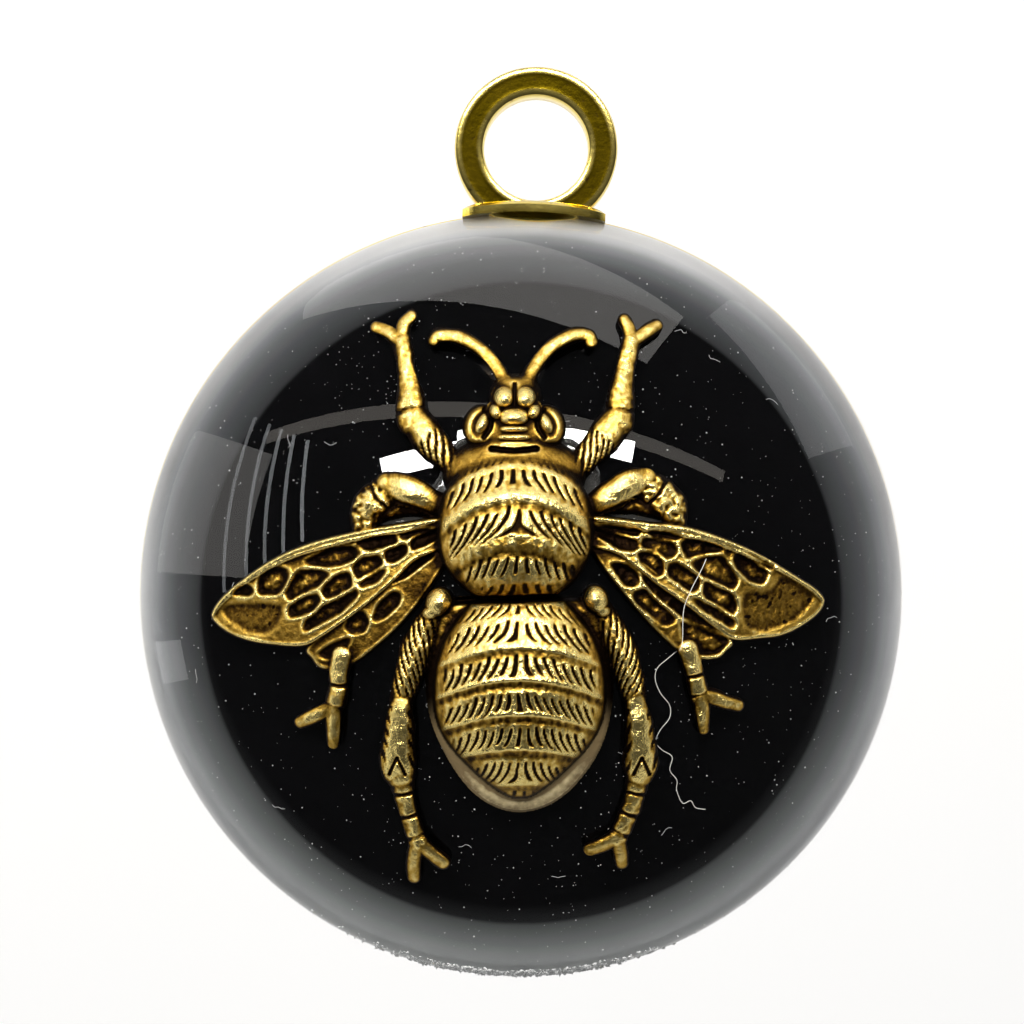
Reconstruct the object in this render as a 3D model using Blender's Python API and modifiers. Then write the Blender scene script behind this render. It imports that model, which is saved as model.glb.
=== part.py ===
"""Bee ornament ball: a cast bee on the front of a black ball that hangs from a flat ring.

The origin is the hang point, on top of the hole of the ring. +Z is up and the bee faces -Y.
Lengths are in millimetres and are scaled to metres where a mesh is made.
"""

import math

import bmesh
import bpy
from mathutils import Matrix, Vector

MM = 0.001

# Ball: a shallow cap with a rolled shoulder that ends at the rim plane, Y = 0.
BALL_RADIUS = 38.0
CAP_RADIUS = 58.0
SHOULDER_RADIUS = 6.0
SHOULDER_CENTRE = BALL_RADIUS - SHOULDER_RADIUS
CAP_CENTRE_Y = math.sqrt((CAP_RADIUS - SHOULDER_RADIUS) ** 2 - SHOULDER_CENTRE**2)
SHOULDER_START = math.asin(SHOULDER_CENTRE / (CAP_RADIUS - SHOULDER_RADIUS))
GAP = 0.3

# Clear dome over the black base. The dome has a tongue that sits in the frame.
CLEAR_WALL = 1.2
STEP_Y = 1.0
TONGUE_RADIUS = 37.0
TONGUE_BACK_Y = 4.5
BASE_BACK_Y = 4.4

# Gold frame: a shallow pan with a flat back.
FRAME_RADIUS = 38.25
FRAME_FLOOR_Y = TONGUE_BACK_Y + GAP
FRAME_BACK_Y = 6.0
FRAME_EDGE = 0.5

# Hanging ring and its saddle foot.
RING_OUTER = 8.1
RING_INNER = 5.2
RING_THICKNESS = 4.0
RING_BEVEL = 0.35
RING_HEIGHT = 44.5
FOOT_WIDTH = 14.2
FOOT_DEPTH = 6.4
FOOT_THICKNESS = 1.2
BALL_Z = -(RING_HEIGHT + RING_INNER)

# Bee: its own frame has X across and Z up from the ball's centre.
BEE_SHIFT = -0.5
BEE_TILT = math.radians(1.93)
WING_THICKNESS = 1.7
HIND_WING_THICKNESS = 1.2
RIM_THICKNESS = 1.8
GLUE_THICKNESS = 0.5

# Steps round a turned piece, and points across its profile.
TURN_STEPS = 48
CAP_STEPS = 6
SHOULDER_STEPS = 4

# Ellipsoids of the body: centre X and Z, half widths in X and Z, height over the dome.
BODY = {
    "thorax": (-0.1, 6.8, 7.3, 7.0, 6.0),
    "abdomen": (0.3, -9.4, 8.2, 10.3, 6.4),
    "face": (-0.2, 17.0, 3.4, 3.6, 4.2),
    "eye_left": (-3.2, 16.6, 1.7, 2.3, 3.4),
    "eye_right": (2.8, 16.6, 1.7, 2.3, 3.4),
    "neck": (-0.2, 13.2, 6.2, 2.4, 2.8),
    "coxa_left": (-7.2, -0.1, 1.6, 1.6, 3.0),
    "coxa_right": (7.4, 0.1, 1.6, 1.6, 3.0),
}

# Outlines of flat shapes: points (X, Z) that a smooth closed curve runs through.
ABDOMEN_RIM = (
    (-6.2, 0.0), (-8.3, -4.7), (-8.6, -8.6), (-7.6, -12.6), (-5.0, -17.2), (-2.3, -19.8),
    (0.3, -20.7), (3.0, -19.8), (6.3, -16.9), (8.4, -12.8), (9.2, -8.5), (8.6, -4.7), (6.9, 0.0),
)
WING_RIGHT = (
    (4.0, 8.2), (6.8, 8.0), (12.6, 7.4), (18.1, 6.5), (24.8, 3.4), (28.6, 1.3),
    (29.9, -0.3), (28.6, -2.1), (25.3, -3.7), (20.9, -4.0), (15.7, -0.4), (9.0, 4.6), (4.0, 5.4),
)
HIND_WING_RIGHT = (
    (5.0, 5.6), (9.3, 1.1), (12.7, -2.6), (16.0, -5.4), (18.2, -5.8), (20.0, -5.0),
    (20.4, -3.4), (15.7, 0.6), (9.0, 5.4),
)
WING_LEFT = (
    (-4.0, 8.2), (-7.4, 7.8), (-14.5, 6.7), (-20.4, 5.1), (-25.2, 2.6), (-28.6, -0.1),
    (-29.6, -1.7), (-28.1, -3.3), (-23.6, -4.5), (-20.2, -4.6), (-15.7, -1.9), (-9.0, 4.1), (-4.0, 5.4),
)
HIND_WING_LEFT = (
    (-5.0, 5.4), (-9.5, -0.9), (-12.9, -4.2), (-16.2, -6.5), (-18.2, -6.8), (-19.6, -5.6),
    (-19.8, -4.2), (-15.7, -0.9), (-9.0, 4.9),
)
GLUE_OUTLINE = (
    (-14.9, 7.9), (-14.2, 10.2), (-12.6, 12.0), (-10.6, 12.0), (-8.6, 10.9), (-6.9, 12.6),
    (-5.2, 15.0), (0.0, 14.6), (5.2, 15.0), (6.6, 12.6), (8.5, 11.0), (10.6, 12.2), (13.0, 12.2),
    (14.9, 10.2), (15.6, 7.9), (10.0, 6.0), (4.0, 3.0), (0.0, 2.0), (-4.0, 3.0), (-10.0, 6.0),
)

# Round limbs: points (X, Z, radius), and the height of the first and the last point.
LIMBS = {
    "antenna_left": (((-0.9, 20.0, 0.6), (-2.8, 23.4, 0.55), (-5.2, 25.1, 0.5), (-7.9, 25.4, 0.5)), 2.4, 1.3),
    "antenna_right": (((0.9, 20.0, 0.6), (2.7, 23.3, 0.55), (4.9, 25.3, 0.5), (7.5, 25.3, 0.5)), 2.4, 1.3),
    "front_leg_left": (
        ((-5.0, 11.4, 1.1), (-8.2, 15.1, 1.3), (-9.9, 17.2, 1.3), (-10.1, 18.8, 1.2), (-10.7, 22.7, 0.9),
         (-11.2, 25.4, 0.75)), 0.9, 0.8,
    ),
    "front_leg_right": (
        ((5.0, 11.4, 1.1), (8.0, 15.1, 1.3), (9.8, 17.2, 1.3), (9.9, 18.6, 1.2), (10.5, 21.9, 0.9),
         (11.3, 25.2, 0.75)), 0.9, 0.8,
    ),
    "front_claw_left_out": (((-11.2, 25.2, 0.6), (-13.5, 26.3, 0.5)), 0.8, 0.8),
    "front_claw_left_in": (((-11.2, 25.2, 0.6), (-10.3, 27.1, 0.5)), 0.8, 0.8),
    "front_claw_right_out": (((11.3, 25.0, 0.6), (13.7, 26.3, 0.5)), 0.8, 0.8),
    "front_claw_right_in": (((11.3, 25.0, 0.6), (10.5, 26.9, 0.5)), 0.8, 0.8),
    "middle_leg_left": (((-8.0, 9.0, 1.1), (-10.5, 10.3, 1.4), (-12.6, 10.7, 1.4)), 1.4, 1.2),
    "middle_knee_left": (((-12.6, 10.3, 1.3), (-14.0, 8.6, 1.2), (-14.3, 6.6, 1.0)), 1.0, 0.8),
    "middle_leg_right": (((7.8, 8.9, 1.1), (10.2, 10.4, 1.4), (12.4, 11.0, 1.4)), 1.4, 1.2),
    "middle_knee_right": (((12.6, 10.7, 1.3), (14.3, 9.0, 1.2), (14.9, 6.9, 1.0)), 1.0, 0.8),
    "middle_foot_left": (((-16.7, -5.6, 0.85), (-17.0, -8.6, 0.8), (-17.6, -10.4, 0.8)), 0.8, 0.8),
    "middle_claw_left_out": (((-17.6, -10.4, 0.7), (-20.6, -11.9, 0.6)), 0.8, 0.8),
    "middle_claw_left_in": (((-17.6, -10.4, 0.7), (-17.5, -13.8, 0.6)), 0.8, 0.8),
    "middle_foot_right": (((16.3, -5.0, 0.85), (17.1, -7.5, 0.8), (17.6, -9.3, 0.8)), 0.8, 0.8),
    "middle_claw_right_out": (((17.6, -9.3, 0.7), (21.2, -10.2, 0.6)), 0.8, 0.8),
    "middle_claw_right_in": (((17.6, -9.3, 0.7), (17.9, -12.3, 0.6)), 0.8, 0.8),
    "hind_leg_left": (
        ((-7.4, -0.6, 1.3), (-9.4, -5.7, 1.2), (-10.8, -9.5, 1.1), (-11.2, -13.5, 1.4), (-11.1, -16.8, 1.3),
         (-10.5, -20.5, 0.85), (-9.3, -23.8, 0.8)), 1.1, 0.8,
    ),
    "hind_claw_left_out": (((-9.3, -23.8, 0.7), (-9.8, -27.2, 0.6)), 0.8, 0.8),
    "hind_claw_left_in": (((-9.3, -23.8, 0.7), (-7.1, -25.5, 0.6)), 0.8, 0.8),
    "hind_leg_right": (
        ((7.5, -0.6, 1.3), (10.0, -5.7, 1.2), (11.1, -9.5, 1.1), (11.6, -13.5, 1.4), (11.6, -16.8, 1.3),
         (11.0, -20.5, 0.85), (9.7, -23.3, 0.8)), 1.1, 0.8,
    ),
    "hind_claw_right_out": (((9.7, -23.3, 0.7), (10.2, -25.6, 0.6)), 0.8, 0.8),
    "hind_claw_right_in": (((9.7, -23.3, 0.7), (7.1, -24.2, 0.6)), 0.8, 0.8),
}

# The front turns local +Z of a profile or an outline to -Y.
FACE_FRONT = Matrix.Rotation(math.pi / 2, 4, "X")


def clear_scene():
    for obj in list(bpy.data.objects):
        bpy.data.objects.remove(obj, do_unlink=True)


def new_collection(name):
    collection = bpy.data.collections.new(name)
    bpy.context.scene.collection.children.link(collection)
    return collection


def new_material(name, colour, roughness, metallic, transmission=0.0):
    material = bpy.data.materials.new(name)
    material.use_nodes = True
    shader = material.node_tree.nodes["Principled BSDF"]
    shader.inputs["Base Color"].default_value = (*colour, 1.0)
    shader.inputs["Roughness"].default_value = roughness
    shader.inputs["Metallic"].default_value = metallic
    shader.inputs["Transmission Weight"].default_value = transmission
    return material


def plain_mesh(obj):
    """Puts the object's evaluated shape in world space in its place, welded and facing out."""
    bpy.context.view_layer.update()
    evaluated = obj.evaluated_get(bpy.context.evaluated_depsgraph_get())
    mesh = bpy.data.meshes.new_from_object(evaluated)
    mesh.transform(obj.matrix_world)
    shape = bmesh.new()
    shape.from_mesh(mesh)
    bmesh.ops.remove_doubles(shape, verts=shape.verts, dist=1e-7)
    bmesh.ops.recalc_face_normals(shape, faces=shape.faces)
    shape.to_mesh(mesh)
    shape.free()
    plain = bpy.data.objects.new(obj.name, mesh)
    for collection in obj.users_collection:
        collection.objects.link(plain)
    name = obj.name
    bpy.data.objects.remove(obj, do_unlink=True)
    plain.name = name
    return plain


def turned(name, profile, collection):
    """A solid turned round the ball's axis from points (radius, Y) that run from the front to the back."""
    mesh = bpy.data.meshes.new(name)
    points = [(radius * MM, 0.0, -y * MM) for radius, y in profile]
    edges = [(i, i + 1) for i in range(len(points) - 1)]
    mesh.from_pydata(points, edges, [])
    obj = bpy.data.objects.new(name, mesh)
    collection.objects.link(obj)
    screw = obj.modifiers.new("turn", "SCREW")
    screw.axis = "Z"
    screw.steps = TURN_STEPS
    screw.render_steps = TURN_STEPS
    screw.use_merge_vertices = True
    screw.merge_threshold = 1e-6
    obj.matrix_world = FACE_FRONT
    return plain_mesh(obj)


def dome_profile(offset):
    """Points (radius, Y) of the skin at this distance outside the dome, from the front to the rim plane."""
    cap = CAP_RADIUS + offset
    shoulder = SHOULDER_RADIUS + offset
    points = []
    for i in range(CAP_STEPS):
        angle = SHOULDER_START * i / CAP_STEPS
        points.append((cap * math.sin(angle), CAP_CENTRE_Y - cap * math.cos(angle)))
    for i in range(SHOULDER_STEPS + 1):
        angle = SHOULDER_START + (math.pi / 2 - SHOULDER_START) * i / SHOULDER_STEPS
        points.append((SHOULDER_CENTRE + shoulder * math.sin(angle), -shoulder * math.cos(angle)))
    return points


def dome_y(x, z):
    """Y of the dome's skin at this place across the front."""
    radius = math.hypot(x, z)
    return CAP_CENTRE_Y - math.sqrt(CAP_RADIUS**2 - radius**2)


def dome_solid(name, offset, back_y, collection):
    """The space inside the skin at this offset, closed at a flat back."""
    profile = dome_profile(offset)
    edge = profile[-1][0]
    return turned(name, profile + [(edge, back_y), (0.0, back_y)], collection)


def prism(name, outline, collection):
    """A closed outline in X and Z, made a prism that runs the whole depth of the ball."""
    curve = bpy.data.curves.new(name, "CURVE")
    curve.dimensions = "2D"
    curve.fill_mode = "BOTH"
    curve.extrude = 40.0 * MM
    curve.resolution_u = 2
    spline = curve.splines.new("BEZIER")
    spline.bezier_points.add(len(outline) - 1)
    for point, (x, z) in zip(spline.bezier_points, outline):
        point.co = ((x + BEE_SHIFT) * MM, z * MM, 0.0)
        point.handle_left_type = "AUTO"
        point.handle_right_type = "AUTO"
    spline.use_cyclic_u = True
    obj = bpy.data.objects.new(name, curve)
    collection.objects.link(obj)
    obj.matrix_world = FACE_FRONT
    return plain_mesh(obj)


def combine(target, others, operation, solver="EXACT"):
    """Joins, cuts or trims the target with the others, and removes them."""
    for other in others:
        modifier = target.modifiers.new(other.name, "BOOLEAN")
        modifier.operation = operation
        modifier.solver = solver
        modifier.object = other
    result = plain_mesh(target)
    for other in others:
        bpy.data.objects.remove(other, do_unlink=True)
    return result


def draped(name, outline, low, high, collection):
    """A plate with this outline whose lower and upper faces follow the dome."""
    plate = dome_solid(name, high, 0.0, collection)
    plate = combine(plate, [prism(name + "_outline", outline, collection)], "INTERSECT")
    return combine(plate, [dome_solid(name + "_under", low, 10.0, collection)], "DIFFERENCE")


def ellipsoid(name, centre_x, centre_z, half_x, half_z, height, collection):
    """An ellipsoid whose middle is on the dome's skin."""
    mesh = bpy.data.meshes.new(name)
    shape = bmesh.new()
    bmesh.ops.create_uvsphere(shape, u_segments=18, v_segments=10, radius=1.0)
    shape.to_mesh(mesh)
    shape.free()
    obj = bpy.data.objects.new(name, mesh)
    collection.objects.link(obj)
    x = centre_x + BEE_SHIFT
    place = Vector((x, dome_y(x, centre_z), centre_z)) * MM
    size = Vector((half_x, half_z, height)) * MM
    obj.matrix_world = Matrix.Translation(place) @ FACE_FRONT @ Matrix.Diagonal((*size, 1.0))
    return plain_mesh(obj)


def limb(name, points, first_height, last_height, collection):
    """A round limb that follows the dome at a height that changes evenly along it."""
    curve = bpy.data.curves.new(name, "CURVE")
    curve.dimensions = "3D"
    curve.bevel_depth = MM
    curve.bevel_resolution = 2
    curve.use_fill_caps = True
    spline = curve.splines.new("POLY")
    spline.points.add(len(points) - 1)
    for i, (x, z, radius) in enumerate(points):
        share = i / (len(points) - 1)
        height = first_height + (last_height - first_height) * share
        across = x + BEE_SHIFT
        place = Vector((across, dome_y(across, z) - height, z)) * MM
        spline.points[i].co = (*place, 1.0)
        spline.points[i].radius = radius
    obj = bpy.data.objects.new(name, curve)
    collection.objects.link(obj)
    return plain_mesh(obj)


def to_ball(obj, turn=0.0):
    """Turns a finished shape about the ball's axis and moves it from the ball's centre to its place."""
    place = Matrix.Translation(Vector((0.0, 0.0, BALL_Z * MM)))
    obj.data.transform(place @ Matrix.Rotation(-turn, 4, "Y"))


def finish(obj, material, sharp_angle=35.0):
    obj.data.materials.clear()
    obj.data.materials.append(material)
    obj.data.shade_smooth()
    obj.data.set_sharp_from_angle(angle=math.radians(sharp_angle))


def make_clear_dome(collection, material):
    """A shell with an open back, so that the base fills it."""
    outer = dome_profile(0.0)
    inner = dome_profile(-CLEAR_WALL)
    inner_edge = inner[-1][0]
    back = [
        (BALL_RADIUS, STEP_Y), (TONGUE_RADIUS, STEP_Y), (TONGUE_RADIUS, TONGUE_BACK_Y),
        (inner_edge - GAP, TONGUE_BACK_Y), (inner_edge - GAP, STEP_Y), (inner_edge, STEP_Y - GAP),
    ]
    dome = turned("clear_dome", outer + back + inner[::-1], collection)
    to_ball(dome)
    finish(dome, material)


def make_black_base(collection, material):
    skin = dome_profile(-CLEAR_WALL - GAP)
    edge = skin[-1][0] - GAP
    skin = [(min(radius, edge), y) for radius, y in skin[:-1]]
    base = turned("black_base", skin + [(edge, 0.0), (edge, BASE_BACK_Y), (0.0, BASE_BACK_Y)], collection)
    to_ball(base)
    finish(base, material)


def make_back_frame(collection, material):
    lip_y = STEP_Y + GAP
    inside = TONGUE_RADIUS + GAP
    profile = [
        (0.0, FRAME_FLOOR_Y), (inside, FRAME_FLOOR_Y), (inside, lip_y), (FRAME_RADIUS, lip_y),
        (FRAME_RADIUS, FRAME_BACK_Y - FRAME_EDGE), (FRAME_RADIUS - FRAME_EDGE, FRAME_BACK_Y),
        (0.0, FRAME_BACK_Y),
    ]
    frame = turned("back_frame", profile, collection)
    to_ball(frame)
    finish(frame, material)


def ring_disc(name, radius, thickness, collection):
    mesh = bpy.data.meshes.new(name)
    shape = bmesh.new()
    bmesh.ops.create_cone(
        shape, cap_ends=True, segments=56, radius1=radius * MM, radius2=radius * MM, depth=thickness * MM
    )
    shape.to_mesh(mesh)
    shape.free()
    obj = bpy.data.objects.new(name, mesh)
    collection.objects.link(obj)
    obj.matrix_world = Matrix.Translation(Vector((0.0, 0.0, RING_HEIGHT)) * MM) @ FACE_FRONT
    return obj


def make_hanging_loop(collection, material):
    """A flat ring joined to a saddle foot that lies over the dome's shoulder and the frame."""
    ring = ring_disc("hanging_loop", RING_OUTER, RING_THICKNESS, collection)
    edge = ring.modifiers.new("edge", "BEVEL")
    edge.width = RING_BEVEL * MM
    edge.segments = 2
    edge.angle_limit = math.radians(60)
    ring = plain_mesh(ring)
    foot = dome_solid("foot", FOOT_THICKNESS, 10.0, collection)
    column = ring_disc("foot_column", 1.0, 40.0, collection)
    size = Matrix.Diagonal((FOOT_WIDTH / 2, FOOT_DEPTH / 2, 1.0, 1.0))
    column.matrix_world = Matrix.Translation(Vector((0.0, 0.0, BALL_RADIUS)) * MM) @ size
    foot = combine(foot, [plain_mesh(column)], "INTERSECT")
    ring = combine(ring, [foot], "UNION")
    hole = plain_mesh(ring_disc("hole", RING_INNER, 20.0, collection))
    under = dome_solid("under", GAP, 1.0, collection)
    frame_room = turned(
        "frame_room",
        [(0.0, STEP_Y - 0.5), (FRAME_RADIUS + GAP, STEP_Y - 0.5), (FRAME_RADIUS + GAP, 12.0), (0.0, 12.0)],
        collection,
    )
    ring = combine(ring, [hole, under, frame_room], "DIFFERENCE")
    to_ball(ring)
    finish(ring, material)


def make_glue_pad(collection, material):
    pad = draped("glue_pad", GLUE_OUTLINE, GAP, GAP + GLUE_THICKNESS, collection)
    to_ball(pad, BEE_TILT)
    finish(pad, material)


def make_bee(collection, material):
    """One casting: body, four wings, six legs and two antennae, cut to lie over the dome and the glue."""
    parts = [ellipsoid(name, *sizes, collection) for name, sizes in BODY.items()]
    parts.append(draped("abdomen_rim", ABDOMEN_RIM, GAP, RIM_THICKNESS, collection))
    parts.append(draped("wing_right", WING_RIGHT, GAP, WING_THICKNESS, collection))
    parts.append(draped("wing_left", WING_LEFT, GAP, WING_THICKNESS, collection))
    parts.append(draped("hind_wing_right", HIND_WING_RIGHT, GAP, HIND_WING_THICKNESS, collection))
    parts.append(draped("hind_wing_left", HIND_WING_LEFT, GAP, HIND_WING_THICKNESS, collection))
    for name, (points, first_height, last_height) in LIMBS.items():
        parts.append(limb(name, points, first_height, last_height, collection))
    bee = parts[0]
    bee.name = "bee"
    bee = combine(bee, parts[1:], "UNION", "MANIFOLD")
    room = [dome_solid("dome_room", GAP, 20.0, collection)]
    room.append(draped("glue_room", GLUE_OUTLINE, 0.0, GLUE_THICKNESS + 2 * GAP, collection))
    bee = combine(bee, room, "DIFFERENCE", "MANIFOLD")
    to_ball(bee, BEE_TILT)
    finish(bee, material)


def main():
    clear_scene()
    collection = new_collection("bee_ornament_ball")
    gold = new_material("gold_plate", (0.83, 0.62, 0.17), 0.18, 1.0)
    black = new_material("black_core", (0.004, 0.004, 0.005), 0.3, 0.0)
    clear = new_material("clear_resin", (0.95, 0.96, 0.97), 0.02, 0.0, transmission=1.0)
    brass = new_material("antique_brass", (0.52, 0.38, 0.14), 0.3, 1.0)
    make_back_frame(collection, gold)
    make_hanging_loop(collection, gold)
    make_black_base(collection, black)
    make_clear_dome(collection, clear)
    make_glue_pad(collection, clear)
    make_bee(collection, brass)


main()
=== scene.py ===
import math

import bpy
import numpy as np
from mathutils import Matrix, Vector


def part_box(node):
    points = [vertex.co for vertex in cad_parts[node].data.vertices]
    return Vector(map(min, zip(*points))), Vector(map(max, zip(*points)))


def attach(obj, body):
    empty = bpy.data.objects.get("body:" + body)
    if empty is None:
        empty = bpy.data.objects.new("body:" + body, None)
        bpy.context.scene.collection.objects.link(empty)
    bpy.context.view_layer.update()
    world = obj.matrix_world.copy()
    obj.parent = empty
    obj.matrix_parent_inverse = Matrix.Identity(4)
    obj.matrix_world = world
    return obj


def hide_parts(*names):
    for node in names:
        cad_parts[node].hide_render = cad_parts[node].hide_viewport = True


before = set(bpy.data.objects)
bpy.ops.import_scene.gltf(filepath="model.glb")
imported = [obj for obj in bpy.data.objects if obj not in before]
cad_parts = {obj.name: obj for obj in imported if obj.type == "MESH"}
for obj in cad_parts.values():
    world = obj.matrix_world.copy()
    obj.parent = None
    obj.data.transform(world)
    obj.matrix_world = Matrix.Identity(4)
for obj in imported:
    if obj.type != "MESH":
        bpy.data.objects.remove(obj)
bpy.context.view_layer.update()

MM = 0.001
# The ball, in millimetres: a shallow front with a round shoulder, turned about an axis along Y.
BALL_RADIUS = 38.0
CAP_RADIUS = 58.0
SHOULDER_RADIUS = 6.0
SKIN_THICKNESS = 1.35
SHOULDER_CENTRE = BALL_RADIUS - SHOULDER_RADIUS
CAP_CENTRE_Y = math.sqrt((CAP_RADIUS - SHOULDER_RADIUS) ** 2 - SHOULDER_CENTRE**2)
SHOULDER_START = math.asin(SHOULDER_CENTRE / (CAP_RADIUS - SHOULDER_RADIUS))
BASE_LOW, BASE_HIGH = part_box("black_base")
BALL_Z = (BASE_LOW.z + BASE_HIGH.z) / 2 / MM
FRAME_LOW, FRAME_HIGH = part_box("back_frame")
FRAME_RADIUS = (FRAME_HIGH.x - FRAME_LOW.x) / 2 / MM
FRAME_BACK = FRAME_HIGH.y / MM
# The bee sits a little turned and a little left of the ball's middle.
TILT = math.radians(1.93)
BEE_SHIFT = -0.5
# Steps round a turned piece.
TURN = 320
BLACK, WHITE = (0.0, 0.0, 0.0), (1.0, 1.0, 1.0)


# ---------------------------------------------------------------- places and meshes

def skin_y(x, z, lift=0.0):
    """Y of the dome, or of a shell this far outside it, for arrays of X and Z about the ball's centre."""
    radius = np.hypot(x, z)
    cap = CAP_RADIUS + lift
    shoulder = SHOULDER_RADIUS + lift
    edge = cap * math.sin(SHOULDER_START)
    front = CAP_CENTRE_Y - np.sqrt(np.maximum(cap**2 - np.minimum(radius, edge) ** 2, 0.0))
    side = -np.sqrt(np.maximum(shoulder**2 - (np.maximum(radius, edge) - SHOULDER_CENTRE) ** 2, 0.0))
    return np.where(radius <= edge, front, side)


def to_frame(x, y, z):
    """Points about the ball's centre, turned as the bee sits, as metres in the row frame."""
    c, s = math.cos(TILT), math.sin(TILT)
    return np.stack([(x * c - z * s) * MM, y * MM, (x * s + z * c + BALL_Z) * MM], axis=-1)


def on_skin(x, z, lift):
    """Points this far in front of the dome's skin, along Y."""
    return to_frame(x, skin_y(x, z) - lift, z)


def new_piece(name, points, faces, material, slot_name, nodes, smooth=True):
    """A mesh that rides with the object, takes the given finish and stands for the nodes it replaces; its
    slot name is not used.
    """
    mesh = bpy.data.meshes.new(name)
    mesh.from_pydata([tuple(p) for p in np.asarray(points, float)], [], faces)
    mesh.validate()
    mesh.update()
    if smooth:
        mesh.shade_smooth()
    mesh.materials.append(material)
    obj = bpy.data.objects.new(name, mesh)
    bpy.context.scene.collection.objects.link(obj)
    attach(obj, "root")
    if nodes:
        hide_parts(*nodes)
    return obj


def joined(parts):
    """Points and faces of several shapes as one."""
    points, faces = [], []
    for p, f in parts:
        start = len(points)
        points += [tuple(q) for q in p]
        faces += [tuple(i + start for i in face) for face in f]
    return points, faces


def lathe(profile, steps=TURN):
    """Points and faces of a profile of (radius, Y) turned about the ball's axis; radius 0 makes one point."""
    points, rings = [], []
    angles = np.arange(steps) * 2 * math.pi / steps
    for radius, y in profile:
        if radius < 1e-6:
            rings.append([len(points)])
            points.append((0.0, y, 0.0))
        else:
            rings.append(list(range(len(points), len(points) + steps)))
            points += [(radius * math.cos(a), y, radius * math.sin(a)) for a in angles]
    faces = []
    for lower, upper in zip(rings, rings[1:]):
        for i in range(steps):
            j = (i + 1) % steps
            if len(lower) == 1:
                faces.append((lower[0], upper[i], upper[j]))
            elif len(upper) == 1:
                faces.append((lower[j], lower[i], upper[0]))
            else:
                faces.append((lower[i], upper[i], upper[j], lower[j]))
    points = np.array(points)
    return to_frame(points[:, 0], points[:, 1], points[:, 2]), faces


def dome_profile(lift, cap_steps=60, shoulder_steps=28):
    """(radius, Y) from the front's middle over the shoulder to the widest place."""
    cap, shoulder = CAP_RADIUS + lift, SHOULDER_RADIUS + lift
    points = []
    for i in range(cap_steps):
        a = SHOULDER_START * i / cap_steps
        points.append((cap * math.sin(a), CAP_CENTRE_Y - cap * math.cos(a)))
    for i in range(shoulder_steps + 1):
        a = SHOULDER_START + (math.pi / 2 - SHOULDER_START) * i / shoulder_steps
        points.append((SHOULDER_CENTRE + shoulder * math.sin(a), -shoulder * math.cos(a)))
    return points


# ---------------------------------------------------------------- materials

class Nodes:
    """A short way to write a node material."""

    def __init__(self, name):
        self.material = bpy.data.materials.new(name)
        self.material.use_nodes = True
        self.tree = self.material.node_tree
        self.shader = self.tree.nodes["Principled BSDF"]

    def add(self, kind, settings=None, **inputs):
        node = self.tree.nodes.new(kind)
        for key, value in (settings or {}).items():
            setattr(node, key, value)
        for key, value in inputs.items():
            self.put(node, key.replace("_", " "), value)
        return node

    def put(self, node, key, value):
        socket = node.inputs[int(key)] if str(key).isdigit() else node.inputs[key]
        if isinstance(value, bpy.types.NodeSocket):
            self.tree.links.new(value, socket)
        else:
            socket.default_value = value

    def set(self, **inputs):
        for key, value in inputs.items():
            self.put(self.shader, key.replace("_", " "), value)

    def place(self):
        return self.add("ShaderNodeTexCoord").outputs["Object"]

    def noise(self, scale, detail=3.0, roughness=0.5):
        node = self.add("ShaderNodeTexNoise", Scale=scale, Detail=detail, Roughness=roughness)
        self.tree.links.new(self.place(), node.inputs["Vector"])
        return node.outputs["Fac"]

    def ramp(self, value, stops):
        node = self.add("ShaderNodeValToRGB")
        self.tree.links.new(value, node.inputs["Fac"])
        elements = node.color_ramp.elements
        while len(elements) < len(stops):
            elements.new(0.5)
        for element, (place, colour) in zip(elements, stops):
            element.position = place
            element.color = (*colour, 1.0) if len(colour) == 3 else colour
        return node.outputs["Color"]

    def maths(self, operation, *values):
        node = self.add("ShaderNodeMath", {"operation": operation})
        for i, value in enumerate(values):
            self.put(node, i, value)
        return node.outputs[0]

    def mix(self, share, first, second):
        node = self.add("ShaderNodeMix", {"data_type": "RGBA"})
        self.put(node, 0, share)
        for i, value in ((6, first), (7, second)):
            self.put(node, i, value if isinstance(value, bpy.types.NodeSocket) else (*value, 1.0))
        return node.outputs[2]

    def attribute(self, name):
        return self.add("ShaderNodeAttribute", {"attribute_name": name}).outputs["Fac"]

    def bump(self, height, strength, distance):
        node = self.add("ShaderNodeBump", Strength=strength, Distance=distance, Height=height)
        self.put(self.shader, "Normal", node.outputs["Normal"])


def clear_resin():
    """Polished clear resin, a little hazy."""
    n = Nodes("clear_resin_polished")
    n.set(Base_Color=(1.0, 1.0, 1.0, 1.0), IOR=1.49, Transmission_Weight=1.0)
    haze = n.noise(900.0, 4.0)
    n.set(Roughness=n.maths("MULTIPLY", haze, 0.012))
    n.bump(n.noise(60.0, 2.0), 0.02, 0.0002)
    return n.material


# How the core's colour changes from its middle (0) to its rim (1), at its sides, above and below: past the
# black middle it is a painted glow, standing in for light that the resin carries in from the wall, dimmed
# above by painted shade and brightened below by painted light.
CORE_BLACK = ((0.0, (0.001, 0.001, 0.0012)), (0.812, (0.002, 0.002, 0.0022)))
CORE_SIDE_PAINTED_GLOW = CORE_BLACK + (
    (0.822, (0.05, 0.053, 0.055)), (0.88, (0.11, 0.115, 0.12)), (0.915, (0.22, 0.228, 0.236)),
    (0.94, (0.42, 0.43, 0.44)), (0.955, (0.75, 0.76, 0.77)), (0.965, (0.95, 0.95, 0.95)),
)
CORE_UPPER_SHADED_PAINTED_GLOW = CORE_BLACK + (
    (0.822, (0.05, 0.053, 0.055)), (0.88, (0.09, 0.095, 0.1)), (0.915, (0.15, 0.155, 0.16)),
    (0.94, (0.25, 0.26, 0.27)), (0.965, (0.5, 0.5, 0.5)),
)
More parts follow.
